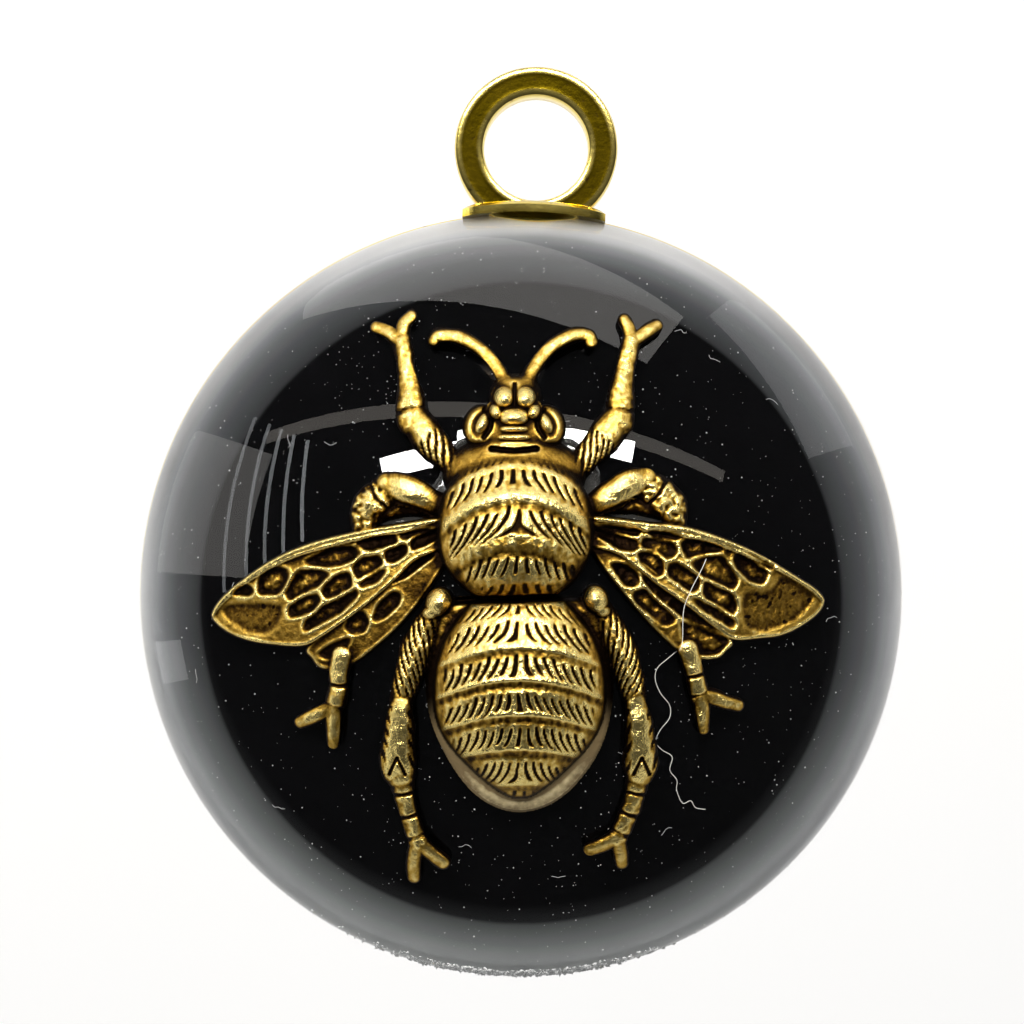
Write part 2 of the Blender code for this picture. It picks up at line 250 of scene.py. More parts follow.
CORE_LOWER_BRIGHTER_PAINTED_GLOW = CORE_BLACK + (
    (0.822, (0.14, 0.15, 0.145)), (0.88, (0.34, 0.36, 0.35)), (0.915, (0.56, 0.58, 0.57)),
    (0.94, (0.74, 0.76, 0.75)), (0.965, (0.9, 0.9, 0.9)),
)


def black_core():
    """Black in the middle; towards the rim a painted glow, for light through the resin, goes grey and then
    nearly white.
    """
    n = Nodes("black_core_with_painted_rim_glow")
    parts = n.add("ShaderNodeSeparateXYZ", Vector=n.place())
    x = parts.outputs["X"]
    z = n.maths("SUBTRACT", parts.outputs["Z"], (BALL_Z - 0.6) * MM)
    squares = n.maths("ADD", n.maths("MULTIPLY", x, x), n.maths("MULTIPLY", z, z))
    radius = n.maths("DIVIDE", n.maths("SQRT", squares), BALL_RADIUS * MM)
    wander = n.maths("MULTIPLY", n.maths("SUBTRACT", n.noise(25.0, 1.0), 0.5), 0.012)
    share = n.maths("ADD", radius, wander)
    rise = n.maths("ADD", n.maths("MULTIPLY", z, 12.0), 0.5)
    fall = n.maths("ADD", n.maths("MULTIPLY", z, -12.0), 0.5)
    # 'above' dims the glow above the middle as painted shade; 'below' brightens it at the bottom as painted
    # light.
    above = n.ramp(rise, ((0.5, BLACK), (0.64, WHITE), (0.82, WHITE), (0.93, BLACK)))
    below = n.ramp(fall, ((0.55, BLACK), (0.93, WHITE)))
    shade = n.mix(above, n.ramp(share, CORE_SIDE_PAINTED_GLOW), n.ramp(share, CORE_UPPER_SHADED_PAINTED_GLOW))
    shade = n.mix(below, shade, n.ramp(share, CORE_LOWER_BRIGHTER_PAINTED_GLOW))
    mottle = n.noise(260.0, 4.0)
    n.set(Base_Color=n.mix(n.maths("MULTIPLY", mottle, 0.16), shade, (0.02, 0.02, 0.024)))
    n.set(Roughness=0.7, Specular_IOR_Level=0.0)
    return n.material


def gold(name, dull):
    """Gold plate with cloudy stains, dark pits and bright edges."""
    n = Nodes(name)
    pits = n.noise(1400.0, 5.0, 0.65)
    cloud = n.noise(180.0, 3.0)
    clouded = n.ramp(cloud, ((0.3, BLACK), (0.7, WHITE)))
    stained = n.maths("MULTIPLY", n.maths("ADD", clouded, 0.4), dull)
    tone = n.mix(stained, (0.72, 0.48, 0.02), (0.22, 0.15, 0.004))
    tone = n.mix(n.attribute("edge"), tone, (1.0, 0.78, 0.2))
    spots = n.ramp(pits, ((0.3, WHITE), (0.36, BLACK)))
    n.set(Base_Color=n.mix(spots, tone, (0.1, 0.05, 0.02)), Metallic=1.0)
    n.set(Roughness=n.maths("ADD", n.maths("MULTIPLY", cloud, 0.16), 0.12))
    n.bump(n.maths("ADD", pits, cloud), 0.1, 0.0003)
    return n.material


# The cast metal from its rubbed tops (low) to its blackened hollows and painted shade (high), plated, and
# pale on the lower flange, which is partly rubbed clean and partly a painted reflection of the white wall.
BRASS_STOPS = ((0.12, (0.98, 0.76, 0.26)), (0.3, (0.61, 0.375, 0.062)), (0.46, (0.285, 0.16, 0.021)),
               (0.63, (0.068, 0.033, 0.004)), (0.82, (0.008, 0.004, 0.002)))
PALE_STOPS = ((0.15, (0.92, 0.82, 0.54)), (0.42, (0.72, 0.59, 0.32)), (0.75, (0.3, 0.21, 0.09)))


def antique_brass():
    """Brass darkened by the mesh's patina-and-shade attribute; sandy pale on the lower flange, partly a
    painted reflection.
    """
    n = Nodes("antique_brass_worn")
    pale = n.attribute("pale")
    grain = n.noise(1500.0, 5.0, 0.6)
    grit = n.noise(4200.0, 3.0, 0.6)
    cloud = n.noise(240.0, 4.0)
    level = n.attribute("patina_and_painted_shade")
    for noise, strength in ((grain, 0.34), (grit, 0.24), (cloud, 0.22)):
        level = n.maths("ADD", level, n.maths("MULTIPLY", n.maths("SUBTRACT", noise, 0.5), strength))
    tone = n.mix(n.maths("MULTIPLY", pale, 0.85), n.ramp(level, BRASS_STOPS), n.ramp(level, PALE_STOPS))
    n.set(Base_Color=tone, Metallic=n.maths("SUBTRACT", 1.0, n.maths("MULTIPLY", pale, 0.85)))
    rough = n.maths("ADD", n.maths("MULTIPLY", level, 0.26), n.maths("MULTIPLY", cloud, 0.1))
    rough = n.maths("ADD", rough, n.maths("MULTIPLY", pale, 0.25))
    n.set(Roughness=n.maths("ADD", rough, 0.2))
    n.bump(n.maths("ADD", grain, n.maths("MULTIPLY", grit, 0.8)), 0.45, 0.00025)
    return n.material


def clear_glue():
    """Clear glue, slightly yellowed in clouds."""
    n = Nodes("clear_glue")
    cloud = n.noise(300.0, 3.0)
    n.set(Base_Color=n.mix(n.maths("MULTIPLY", cloud, 0.4), (0.9, 0.88, 0.82), (0.66, 0.62, 0.52)))
    n.set(Roughness=0.1, IOR=1.42, Transmission_Weight=0.97)
    n.bump(n.noise(700.0, 3.0), 0.1, 0.0004)
    return n.material


def plain(name, colour, roughness=0.8, scale=900.0, glow=0.0):
    """A matt colour with faint clouds; the stage glows a little."""
    n = Nodes(name)
    share = n.maths("MULTIPLY", n.noise(scale, 4.0), 0.3)
    n.set(Base_Color=n.mix(share, colour, [c * 0.9 for c in colour]), Roughness=roughness)
    n.set(Emission_Color=(1.0, 1.0, 1.0, 1.0), Emission_Strength=glow)
    return n.material


# ---------------------------------------------------------------- the bee's relief

# The bee is one casting, modelled as a height over the dome on a fine grid, in millimetres about its own
# axis. 'inside' is how far each place lies inside the casting's outline, the stain grid is extra dark patina
# and painted shade, and the flange grid is 1 where the pale flange shows.
STEP = 0.121
GRID_X = np.arange(-31.0, 31.0, STEP)
GRID_Z = np.arange(-28.6, 28.2, STEP)
XX, ZZ = np.meshgrid(GRID_X, GRID_Z, indexing="ij")
height = np.zeros(XX.shape)
inside = np.full(XX.shape, -9.0)
stain_and_painted_shade = np.zeros(XX.shape)
flange_mask = np.zeros(XX.shape)
random = np.random.default_rng(7)


def smooth(values, sigma):
    """A Gaussian blur on the grid; sigma is in grid steps, one number or one for each axis."""
    for axis, width in enumerate(sigma if isinstance(sigma, tuple) else (sigma, sigma)):
        reach = int(3 * width) + 1
        kernel = np.exp(-0.5 * (np.arange(-reach, reach + 1) / width) ** 2)
        kernel /= kernel.sum()
        padded = np.pad(values, [(reach, reach) if a == axis else (0, 0) for a in (0, 1)], mode="edge")
        size = values.shape[axis]
        values = sum(np.take(padded, range(i, i + size), axis=axis) * k for i, k in enumerate(kernel))
    return values


def grain_field(sigma):
    """Smoothed noise over the whole grid, about zero, with a spread of 1."""
    field = smooth(random.normal(size=XX.shape), sigma)
    return field / field.std()


FINE = grain_field(1.3)
COARSE = grain_field(4.0)
BROAD = grain_field(16.0)
FUR = grain_field((1.1, 5.0))


def ramp(value, low, high):
    """0 below low, 1 above high, smooth between."""
    t = np.clip((value - low) / (high - low), 0.0, 1.0)
    return t * t * (3 - 2 * t)


def bell(value, middle, width):
    """1 at the middle, falling away on both sides."""
    return np.exp(-(((value - middle) / width) ** 2))


def window(points, margin):
    """The part of the grid round these points."""
    p = np.array([q[:2] for q in points], float)
    low, high = p.min(axis=0) - margin, p.max(axis=0) + margin
    i, j = np.searchsorted(GRID_X, (low[0], high[0])), np.searchsorted(GRID_Z, (low[1], high[1]))
    return slice(*i), slice(*j)


def curve_through(points, closed, steps=6):
    """A Catmull-Rom curve through points of any number of values."""
    p = np.array(points, float)
    n = len(p)
    out = []
    for i in range(n if closed else n - 1):
        a, b, c, d = (p[k % n] if closed else p[min(max(k, 0), n - 1)] for k in (i - 1, i, i + 1, i + 2))
        for t in np.arange(steps) / steps:
            bend, twist = 2 * a - 5 * b + 4 * c - d, 3 * b - a - 3 * c + d
            out.append(0.5 * (2 * b + (c - a) * t + bend * t**2 + twist * t**3))
    if not closed:
        out.append(p[-1])
    return np.array(out)


def segment_distance(x, z, a, b):
    """How far along the segment from a to b (0 to 1) each place (x, z) is nearest to it, and how near."""
    ex, ez = b[0] - a[0], b[1] - a[1]
    t = np.clip(((x - a[0]) * ex + (z - a[1]) * ez) / max(ex * ex + ez * ez, 1e-9), 0, 1)
    return t, np.hypot(x - a[0] - t * ex, z - a[1] - t * ez)


def outline_distance(points, x, z, curved=True):
    """Distance of the places (x, z) from a closed outline, positive inside."""
    p = curve_through(points, True, 4) if curved else np.array(points, float)
    q = np.roll(p, -1, axis=0)
    nearest = np.full(x.shape, 99.0)
    crossings = np.zeros(x.shape, bool)
    for (ax, az), (bx, bz) in zip(p, q):
        nearest = np.minimum(nearest, segment_distance(x, z, (ax, az), (bx, bz))[1])
        if abs(bz - az) > 1e-12:
            crossings ^= ((az > z) != (bz > z)) & (x < ax + (z - az) / (bz - az) * (bx - ax))
    return np.where(crossings, nearest, -nearest)


def lay(at, f, h, blend=0.0, mark=0.0):
    """Adds a shape of height h, whose outline is f inwards, where it stands higher than what is there.
    'mark' darkens it, as patina and in places painted shade; 'blend' rounds the crease where it meets what is
    there."""
    here = inside[at] > -0.05
    old = height[at]
    wins = (f > -0.25) & (h > old)
    new = np.where(wins, h, old)
    stain_and_painted_shade[at] = np.where(wins, mark, stain_and_painted_shade[at])
    flange_mask[at] = np.where(wins, 0.0, flange_mask[at])
    if blend:
        k = np.clip(0.5 + 0.5 * (h - old) / blend, 0, 1)
        both = old * (1 - k) + h * k + blend * k * (1 - k)
        new = np.where((f > 0) & here & (np.abs(h - old) < blend), both, new)
    height[at] = new
    inside[at] = np.maximum(inside[at], f)


def turned(cx, cz, half_x, half_z, turn, margin):
    """A window round an ellipse turned by this many degrees, and its own coordinates, 1 on its edge."""
    at = window([(cx - half_x, cz - half_z), (cx + half_x, cz + half_z)], margin)
    x, z = XX[at] - cx, ZZ[at] - cz
    c, s = math.cos(math.radians(turn)), math.sin(math.radians(turn))
    return at, (x * c + z * s) / half_x, (z * c - x * s) / half_z


def bump_shape(cx, cz, half_x, half_z, top, low=0.0, turn=0.0, power=2.0, blend=0.0, relief=None,
               taper=0.0, mark=0.0):
    """A rounded swelling from 'low' at its edge to 'top', whose lower half narrows with 'taper'."""
    at, u, v = turned(cx, cz, half_x, half_z, turn, 1.0 + 0.3 * max(half_x, half_z))
    u = np.abs(u) * (1 + taper * np.maximum(-v, 0.0) ** 3)
    q = (u**power + np.abs(v) ** power) ** (1 / power)
    f = (1 - q) * min(half_x, half_z)
    h = low + (top - low) * np.sqrt(np.maximum(1 - q**2, 0.0))
    if relief is not None:
        change, mark = relief(XX[at], ZZ[at], f)
        h = h + change
    lay(at, f, h, blend, mark)


def tube(points, joints=(), barbs=(), rough=0.0, blend=0.0, flat=0.72, wider=1.22, shade=0.0):
    """A round limb through points (X, Z, radius, height of its middle), 'wider' than its radius says.
    Joints are places along it from 0 to 1. Barbs are (from, to, spacing, slant, depth, how far off the middle
    line they start). 'flat' is its height over its radius; 'shade' darkens it, and its sides get painted
    shade."""
    p = curve_through(points, False, 8)
    at = window(points, 2.2)
    x, z = XX[at], ZZ[at]
    seg = np.hypot(np.diff(p[:, 0]), np.diff(p[:, 1]))
    total = seg.sum()
    best = np.full(x.shape, -9.0)
    rise, along, off = np.zeros(x.shape), np.zeros(x.shape), np.zeros(x.shape)
    wide = np.full(x.shape, 1.0)
    start = 0.0
    for a, b, length in zip(p, p[1:], seg):
        t, d = segment_distance(x, z, a, b)
        r = (a[2] + (b[2] - a[2]) * t) * wider
        f = r - d
        take = f > best
        best = np.where(take, f, best)
        middle = a[3] + (b[3] - a[3]) * t
        rise = np.where(take, middle + flat * np.sqrt(np.maximum(r * r - d * d, 0)), rise)
        along = np.where(take, start + t * length, along)
        side = ((x - a[0]) * (b[1] - a[1]) - (z - a[1]) * (b[0] - a[0])) / max(length, 1e-9)
        off = np.where(take, side, off)
        wide = np.where(take, r, wide)
        start += length
    # The limb's sides are darkened as painted shade.
    mark = shade + 0.3 * ramp(np.abs(off) / wide, 0.55, 1.0) + 0.1 * COARSE[at]
    for share in joints:
        gap = np.abs(along - share * total + 0.12 * np.abs(off))
        rise -= 0.36 * bell(gap, 0.0, 0.17)
        best -= 0.1 * bell(gap, 0.0, 0.22)
        mark = mark + 0.7 * bell(gap, 0.0, 0.16)
    for low, high, spacing, slant, depth, first in barbs:
        phase = (along + slant * np.abs(off) ** 1.3 * np.sign(off)) / spacing + 0.32 * BROAD[at]
        wave = ramp(np.cos(2 * math.pi * phase), 0.0, 0.8)
        share = along / total
        gate = ramp(share, low - 0.02, low + 0.03) * (1 - ramp(share, high - 0.03, high + 0.02))
        edge = ramp(np.abs(off) / wide, first - 0.15, first + 0.25)
        rise -= depth * wave * gate * edge
        mark = mark + 0.55 * wave * gate * edge
    if rough:
        best += 0.07 * COARSE[at] * (best > -1.0)
        rise += (rough * FINE[at] + 0.05 * COARSE[at]) * ramp(best, 0.0, 0.3)
    lay(at, best, rise, blend, mark)


def engrave(cx, cz, half_x, half_z, depth, turn=0.0):
    """A soft lens-shaped cut."""
    at, u, v = turned(cx, cz, half_x, half_z, turn, 0.6 + max(half_x, half_z))
    q = np.hypot(u, v)
    height[at] -= depth * (1 - ramp(q, 0.55, 1.15))
    stain_and_painted_shade[at] += 0.5 * (1 - ramp(q, 0.75, 1.1)) * ramp(q, 0.3, 0.8)


def engrave_line(points, half_width, depth):
    """A dark groove along a curve."""
    p = curve_through(points, False, 6)
    at = window(points, 1.0)
    x, z = XX[at], ZZ[at]
    nearest = np.full(x.shape, 9.0)
    for a, b in zip(p, p[1:]):
        nearest = np.minimum(nearest, segment_distance(x, z, a, b)[1])
    height[at] -= depth * (1 - ramp(nearest, half_width * 0.3, half_width))
    stain_and_painted_shade[at] += 0.8 * (1 - ramp(nearest, half_width * 0.3, half_width * 1.2))


# Outlines of the wings: a smooth closed curve runs through these points.
WING_RIGHT = (
    (4.0, 8.3), (6.8, 8.1), (9.8, 7.8), (12.6, 7.4), (15.3, 7.2), (18.1, 6.5), (21.5, 5.2), (24.8, 3.5),
    (27.3, 2.0), (29.2, 0.8), (29.9, -0.3), (29.2, -1.6), (27.3, -2.9), (25.3, -3.7), (23.3, -3.9),
    (20.9, -4.0), (19.2, -3.1), (15.7, -0.4), (13.1, 1.4), (11.0, 3.1), (8.9, 4.4), (4.0, 5.6),
)
HIND_RIGHT = (
    (5.0, 6.0), (6.9, 4.6), (8.2, 2.8), (9.6, 1.0), (11.2, -0.9), (12.8, -2.7), (14.5, -4.3), (16.0, -5.4),
    (17.7, -5.8), (19.2, -5.7), (20.0, -5.0), (20.6, -3.8), (17.0, -0.4), (11.0, 4.4),
)
WING_LEFT = (
    (-4.0, 8.2), (-7.4, 7.9), (-11.0, 7.3), (-14.5, 6.7), (-17.7, 6.0), (-20.4, 5.2), (-23.1, 4.0),
    (-25.2, 2.7), (-27.1, 1.3), (-28.6, 0.0), (-29.5, -1.3), (-29.4, -2.2), (-28.1, -3.3), (-26.1, -4.1),
    (-23.6, -4.5), (-20.4, -4.6), (-18.6, -3.8), (-15.7, -1.8), (-13.5, -0.1), (-11.2, 1.9), (-9.0, 3.9),
    (-4.0, 5.6),
)
HIND_LEFT = (
    (-5.0, 5.6), (-6.8, 3.0), (-8.2, 0.9), (-9.6, -1.0), (-11.3, -2.9), (-12.9, -4.3), (-14.8, -5.8),
    (-16.2, -6.5), (-17.7, -6.8), (-18.8, -6.6), (-19.5, -5.8), (-20.0, -4.5), (-16.5, -1.5), (-11.0, 3.8),
)
# Hollows between the veins, each a closed ring of corners.
CELLS_RIGHT = (
    ((7.6, 7.2), (9.6, 7.0), (11.7, 6.6), (11.2, 6.1), (9.3, 6.4)),
    ((12.5, 6.5), (14.0, 6.4), (15.6, 6.1), (14.7, 5.7), (13.2, 5.8)),
    ((7.2, 6.6), (9.1, 6.3), (11.1, 5.6), (11.7, 5.2), (11.1, 4.7), (9.6, 5.0)),
    ((11.9, 5.7), (13.4, 5.6), (14.8, 5.3), (15.1, 4.5), (14.4, 4.0), (11.9, 5.1)),
    ((15.7, 5.3), (16.5, 5.5), (18.1, 5.5), (19.6, 4.8), (18.0, 4.4), (16.2, 4.0)),
    ((11.5, 4.4), (12.7, 4.5), (13.6, 3.9), (13.9, 2.6), (13.2, 2.3), (11.9, 3.6)),
    ((14.4, 3.3), (15.2, 3.4), (17.3, 2.0), (17.3, 1.1), (16.7, 0.8), (14.5, 2.3)),
    ((16.6, 3.6), (18.1, 4.0), (19.5, 4.0), (21.0, 1.8), (20.6, 1.0), (17.6, 2.4)),
    ((20.9, 4.2), (22.4, 3.6), (24.0, 2.5), (23.5, 1.5), (22.3, 1.9), (20.9, 3.3)),
    ((21.6, 4.7), (23.3, 4.0), (24.9, 3.1), (24.1, 3.0)),
    ((17.8, 1.7), (20.5, 0.4), (20.9, -0.8), (20.6, -1.4), (17.9, 0.3)),
    ((16.7, 0.1), (19.4, -1.1), (20.7, -2.2), (20.7, -2.7), (17.6, -0.8)),
)
FIELD_RIGHT = ((21.6, 0.6), (24.1, 0.9), (25.5, 2.2), (27.2, 1.5), (28.9, 0.1), (27.3, -1.8), (25.2, -2.9),
               (23.0, -3.2), (21.6, -2.2))
HIND_CELLS_RIGHT = (
    ((9.0, 3.4), (10.3, 3.2), (11.4, 2.3), (11.4, 1.5), (10.4, 1.4)),
    ((11.1, 0.7), (12.2, 0.9), (14.3, -1.2), (15.0, -2.0), (14.0, -2.3), (11.4, -0.2)),
    ((15.7, -2.1), (17.5, -2.7), (20.2, -4.0), (19.5, -5.0), (18.0, -5.2), (16.0, -3.9)),
    ((11.9, 2.4), (16.5, -1.1), (19.0, -3.0), (16.5, -2.0), (13.1, 0.6)),
)
CELLS_LEFT = (
    ((-11.0, 5.9), (-9.5, 6.5), (-7.5, 7.2), (-8.6, 6.5), (-10.0, 6.0)),
    ((-9.9, 4.8), (-9.7, 5.7), (-7.4, 6.5), (-7.5, 6.0), (-8.7, 5.3)),
    ((-15.1, 5.1), (-14.2, 5.6), (-12.9, 5.9), (-11.5, 5.9), (-11.3, 5.5), (-13.8, 4.8)),
    ((-12.3, 3.8), (-12.3, 4.5), (-11.3, 4.9), (-10.3, 5.1), (-10.5, 4.4), (-11.7, 3.6)),
    ((-20.1, 3.5), (-17.7, 4.6), (-15.5, 4.9), (-14.8, 4.6), (-15.3, 4.0), (-16.7, 3.4), (-18.6, 3.2)),
    ((-15.4, 3.0), (-14.7, 3.8), (-12.9, 4.1), (-12.7, 3.7), (-13.1, 2.9), (-15.0, 2.1)),
    ((-24.6, 0.5), (-24.5, 1.8), (-23.7, 2.6), (-22.6, 2.9), (-21.8, 2.6), (-22.0, 1.6), (-22.8, 0.6)),
    ((-22.0, 0.4), (-20.7, 2.6), (-18.6, 2.7), (-17.8, 2.4), (-18.9, 1.4), (-21.5, 0.0)),
    ((-18.3, 0.4), (-18.2, 1.2), (-16.9, 2.2), (-15.8, 2.5), (-15.7, 1.3), (-17.7, 0.2)),
    ((-14.8, 1.2), (-14.4, 1.8), (-12.5, 2.9), (-12.4, 2.7), (-13.2, 1.8)),
    ((-21.6, -1.7), (-21.5, -0.8), (-20.1, 0.2), (-18.9, 0.4), (-18.7, -0.1), (-19.4, -1.1)),
    ((-20.2, -3.0), (-19.9, -2.1), (-18.3, -0.8), (-15.0, 0.9), (-15.4, 0.1), (-16.8, -1.2)),
    ((-27.3, 0.5), (-27.0, 1.0), (-25.9, 1.2), (-25.3, 0.8), (-25.5, 0.4)),
)
FIELD_LEFT = ((-28.4, -1.4), (-27.7, -0.5), (-25.3, -0.3), (-22.8, -0.4), (-22.2, -1.0), (-22.5, -2.2),
              (-23.7, -3.4), (-25.5, -3.4), (-27.3, -2.6))
HIND_CELLS_LEFT = (
    ((-13.2, 1.3), (-11.9, 2.5), (-8.1, 4.8), (-7.9, 4.3), (-10.5, 2.3)),
    ((-13.5, -2.0), (-12.9, -0.5), (-11.5, 0.7), (-11.0, 0.5), (-11.2, -0.3), (-12.4, -1.5)),
    ((-16.1, -2.7), (-15.6, -1.8), (-14.6, -1.2), (-14.1, -1.9), (-14.3, -2.8), (-15.4, -3.2)),
    ((-18.8, -5.3), (-17.5, -4.4), (-15.7, -3.7), (-16.2, -4.4), (-17.9, -5.5)),
)
COSTA_RIGHT = ((5.0, 7.8, 0.62), (10.3, 7.3, 0.6), (15.5, 6.6, 0.62), (20.4, 5.2, 0.55), (25.1, 3.1, 0.42),
               (28.2, 1.2, 0.28), (29.6, -0.2, 0.2))
COSTA_LEFT = ((-5.0, 7.7, 0.62), (-10.9, 6.9, 0.6), (-14.5, 6.3, 0.62), (-18.6, 5.3, 0.58),
              (-22.5, 3.9, 0.52), (-26.0, 1.8, 0.4), (-28.4, -0.3, 0.28), (-29.3, -1.6, 0.2))


def wing(outline, cells, plate, floor, root_x, field=None, costa=None):
    """A thin plate with hollow cells between its veins; a fore wing also has a pitted field near its tip and
    a thick leading edge, the costa, through points (X, Z, half width)."""
    at = window(outline, 1.0)
    x, z = XX[at], ZZ[at]
    f = outline_distance(outline, x, z)
    rise = plate + 0.25 * (1 - ramp(np.abs(x - root_x), 0.0, 9.0))
    h = rise * np.sqrt(np.clip(1 - (1 - np.clip(f / 0.5, 0, 1)) ** 2, 0, 1)) * 0.7 + rise * 0.3
    mark = 0.17 + 0.06 * COARSE[at]
    for cell in cells:
        d = smooth(outline_distance(cell, x, z, False), 2.4)
        hollow = ramp(d, -0.4, 0.16)
        bed = floor + 0.045 * FINE[at] + 0.05 * COARSE[at] + 0.08 * ramp(d, 0.1, 0.9)
        h = h * (1 - hollow) + bed * hollow
        h = h + 0.08 * bell(d, -0.38, 0.15)
        tone = 0.32 - 0.34 * ramp(d, 0.05, 0.45) + 0.1 * FINE[at] + 0.06 * COARSE[at]
        mark = mark * (1 - hollow) + tone * hollow
    if field:
        d = outline_distance(field, x, z)
        hollow = ramp(d, -0.15, 0.5)
        bed = rise - 0.2 + 0.016 * FINE[at] + 0.03 * COARSE[at] - 0.1 * ramp(FINE[at], 1.2, 2.2)
        h = h * (1 - hollow) + bed * hollow
        tone = 0.17 + 0.05 * FINE[at] + 0.05 * COARSE[at] + 0.3 * ramp(FINE[at], 1.0, 2.2)
        mark = mark * (1 - hollow) + tone * hollow
    h = h + 0.15 * bell(f, 0.26, 0.16)
    mark = mark + 0.12 * bell(f, 0.62, 0.16)
    if costa:
        p = curve_through(costa, False, 6)
        top = np.zeros(x.shape)
        line = np.zeros(x.shape)
        for a, b in zip(p, p[1:]):
            t, d = segment_distance(x, z, a, b)
            r = (a[2] + (b[2] - a[2]) * t) * 1.05
            share = r / 0.6
            under = z < a[1] + t * (b[1] - a[1])
            top = np.maximum(top, 0.5 * np.sqrt(np.maximum(1 - (d / r) ** 2, 0)) * share)
            line = np.maximum(line, bell(d, 0.16 * share, 0.09) * share * under)
        h = h + top - 0.12 * line
        mark = mark * (1 - np.clip(top * 2.4, 0, 1)) + 0.3 * line
    h = h + 0.01 * FINE[at]
    lay(at, f, h, mark=mark)


def row_hatch(x, z, middle, drop, centre, half, pitch, depth, lean, reach):
    """One row of short slanted cuts along an arc, which is at 'middle' on the axis and falls by drop * x^2.
    The cuts are 'half' up and down from it, 'pitch' apart and reach out to 'reach' from the axis.
    Gives the change of height and the stain in the cuts, as two layers."""
    u, v = x - centre, z - (middle - drop * (x - centre) ** 2)
    fall = np.clip(half * 1.1 - v, 0, 9)
    root = u - 0.5 * lean * np.tanh(u / 1.6) * fall * fall / half
    part = (slice(x.shape[0]), slice(x.shape[1]))
    phase = root / pitch + 0.26 * BROAD[part] + 0.04 * COARSE[part] + 0.25
    which = np.floor(phase + 0.5)
    chance = np.modf(np.abs(np.sin(which * 12.9898 + middle * 7.1)) * 437.585)[0]
    other = np.modf(np.abs(np.sin(which * 78.233 + middle * 3.7)) * 437.585)[0]
    cut = ramp(np.cos(2 * math.pi * phase), 0.3 - 0.5 * other, 0.95)
    long = half * (0.78 + 0.34 * chance)
    thin = np.clip(1 - ((v - half * 0.25 * (other - 0.5)) / long) ** 2, 0, 1) ** 0.5
    cut = cut * thin * (1 - ramp(np.abs(u), reach * 0.94, reach * 1.02))
    return np.array([-depth * cut, 0.8 * cut])


def furry(out, mark, change, fade):
    """Height and dark mark (with the caller's painted shade), plus the cuts and a fine furry grain, fading
    out at the edge.
    """
    part = (slice(out.shape[0]), slice(out.shape[1]))
    grit, fur = FINE[part], FUR[part]
    out = (out + change[0] + 0.028 * grit + 0.02 * fur) * fade
    return out, (mark + change[1] + 0.03 * grit - 0.05 * fur) * fade


def thorax_relief(x, z, f):
    """Bands, dips and five rows of cuts over the thorax, along arcs that fall away from its axis."""
    arc = z + 0.062 * (x + 0.1) ** 2
    out = 0.2 * bell(arc, 12.75, 0.42) + 0.28 * bell(arc, 9.95, 0.72) - 0.16 * bell(arc, 8.9, 0.45)
    out += 0.03 * bell(arc, 5.7, 0.8) - 0.2 * bell(arc, 4.45, 0.45)
    out += 0.22 * np.exp(-((x - 0.3) ** 2) / 0.9 - (z - 6.6) ** 2 / 0.5)
    # The last term darkens the thorax's lowest part as painted shade.
    mark = 0.06 * bell(arc, 8.9, 0.6) + 0.24 * bell(arc, 4.9, 1.2) + 0.16 * (1 - ramp(arc, 0.2, 2.6))
    rows = (
        (13.45, 0.06, -0.1, 0.62, 0.72, 0.12, 0.55, 4.8), (11.55, 0.062, -0.1, 0.86, 1.0, 0.3, 0.5, 6.4),
        (7.5, 0.064, 0.25, 1.32, 0.98, 0.34, 0.8, 6.5), (3.35, 0.035, 0.3, 0.9, 0.86, 0.2, 0.3, 5.2),
        (1.15, 0.02, 0.3, 0.5, 1.05, 0.12, 0.55, 3.6),
    )
    change = sum(row_hatch(x, z, *row) for row in rows)
    return furry(out, mark, change, ramp(f, 0.05, 0.9))


def abdomen_relief(x, z, f):
    """Five overlapping segment edges and seven rows of cuts."""
    arc = z + 0.033 * (x - 0.3) ** 2
    out = np.zeros(x.shape)
    # The abdomen's lowest part is darkened as painted shade.
    mark = 0.2 * (1 - ramp(arc, -17.5, -11.0))
    for edge, step in ((-4.4, 0.2), (-7.35, 0.3), (-10.6, 0.3), (-13.9, 0.24), (-17.4, 0.12)):
        out += step * np.exp(-np.clip(arc - edge, 0, 9) / 0.6) * ramp(arc, edge - 0.1, edge + 0.22)
        out -= 0.4 * step * bell(arc, edge - 0.45, 0.35)
        mark = mark + 0.18 * bell(arc, edge - 0.35, 0.3) - 0.1 * bell(arc, edge + 0.25, 0.25)
    rows = ((-0.7, 0.62, 0.8, 0.16, 0.85, 6.0), (-2.75, 0.98, 0.9, 0.28, 0.72, 6.7),
            (-6.0, 1.02, 0.86, 0.32, 0.52, 7.1), (-9.4, 0.98, 0.8, 0.3, 0.45, 7.0),
            (-12.55, 0.98, 0.78, 0.3, 0.4, 6.3), (-16.0, 1.02, 0.72, 0.26, 0.5, 4.6),
            (-18.35, 0.36, 0.85, 0.14, 0.5, 2.2))
    change = sum(row_hatch(x, z, middle, 0.033, 0.3, *row) for middle, *row in rows)
    return furry(out, mark, change, ramp(f, 0.05, 1.0))


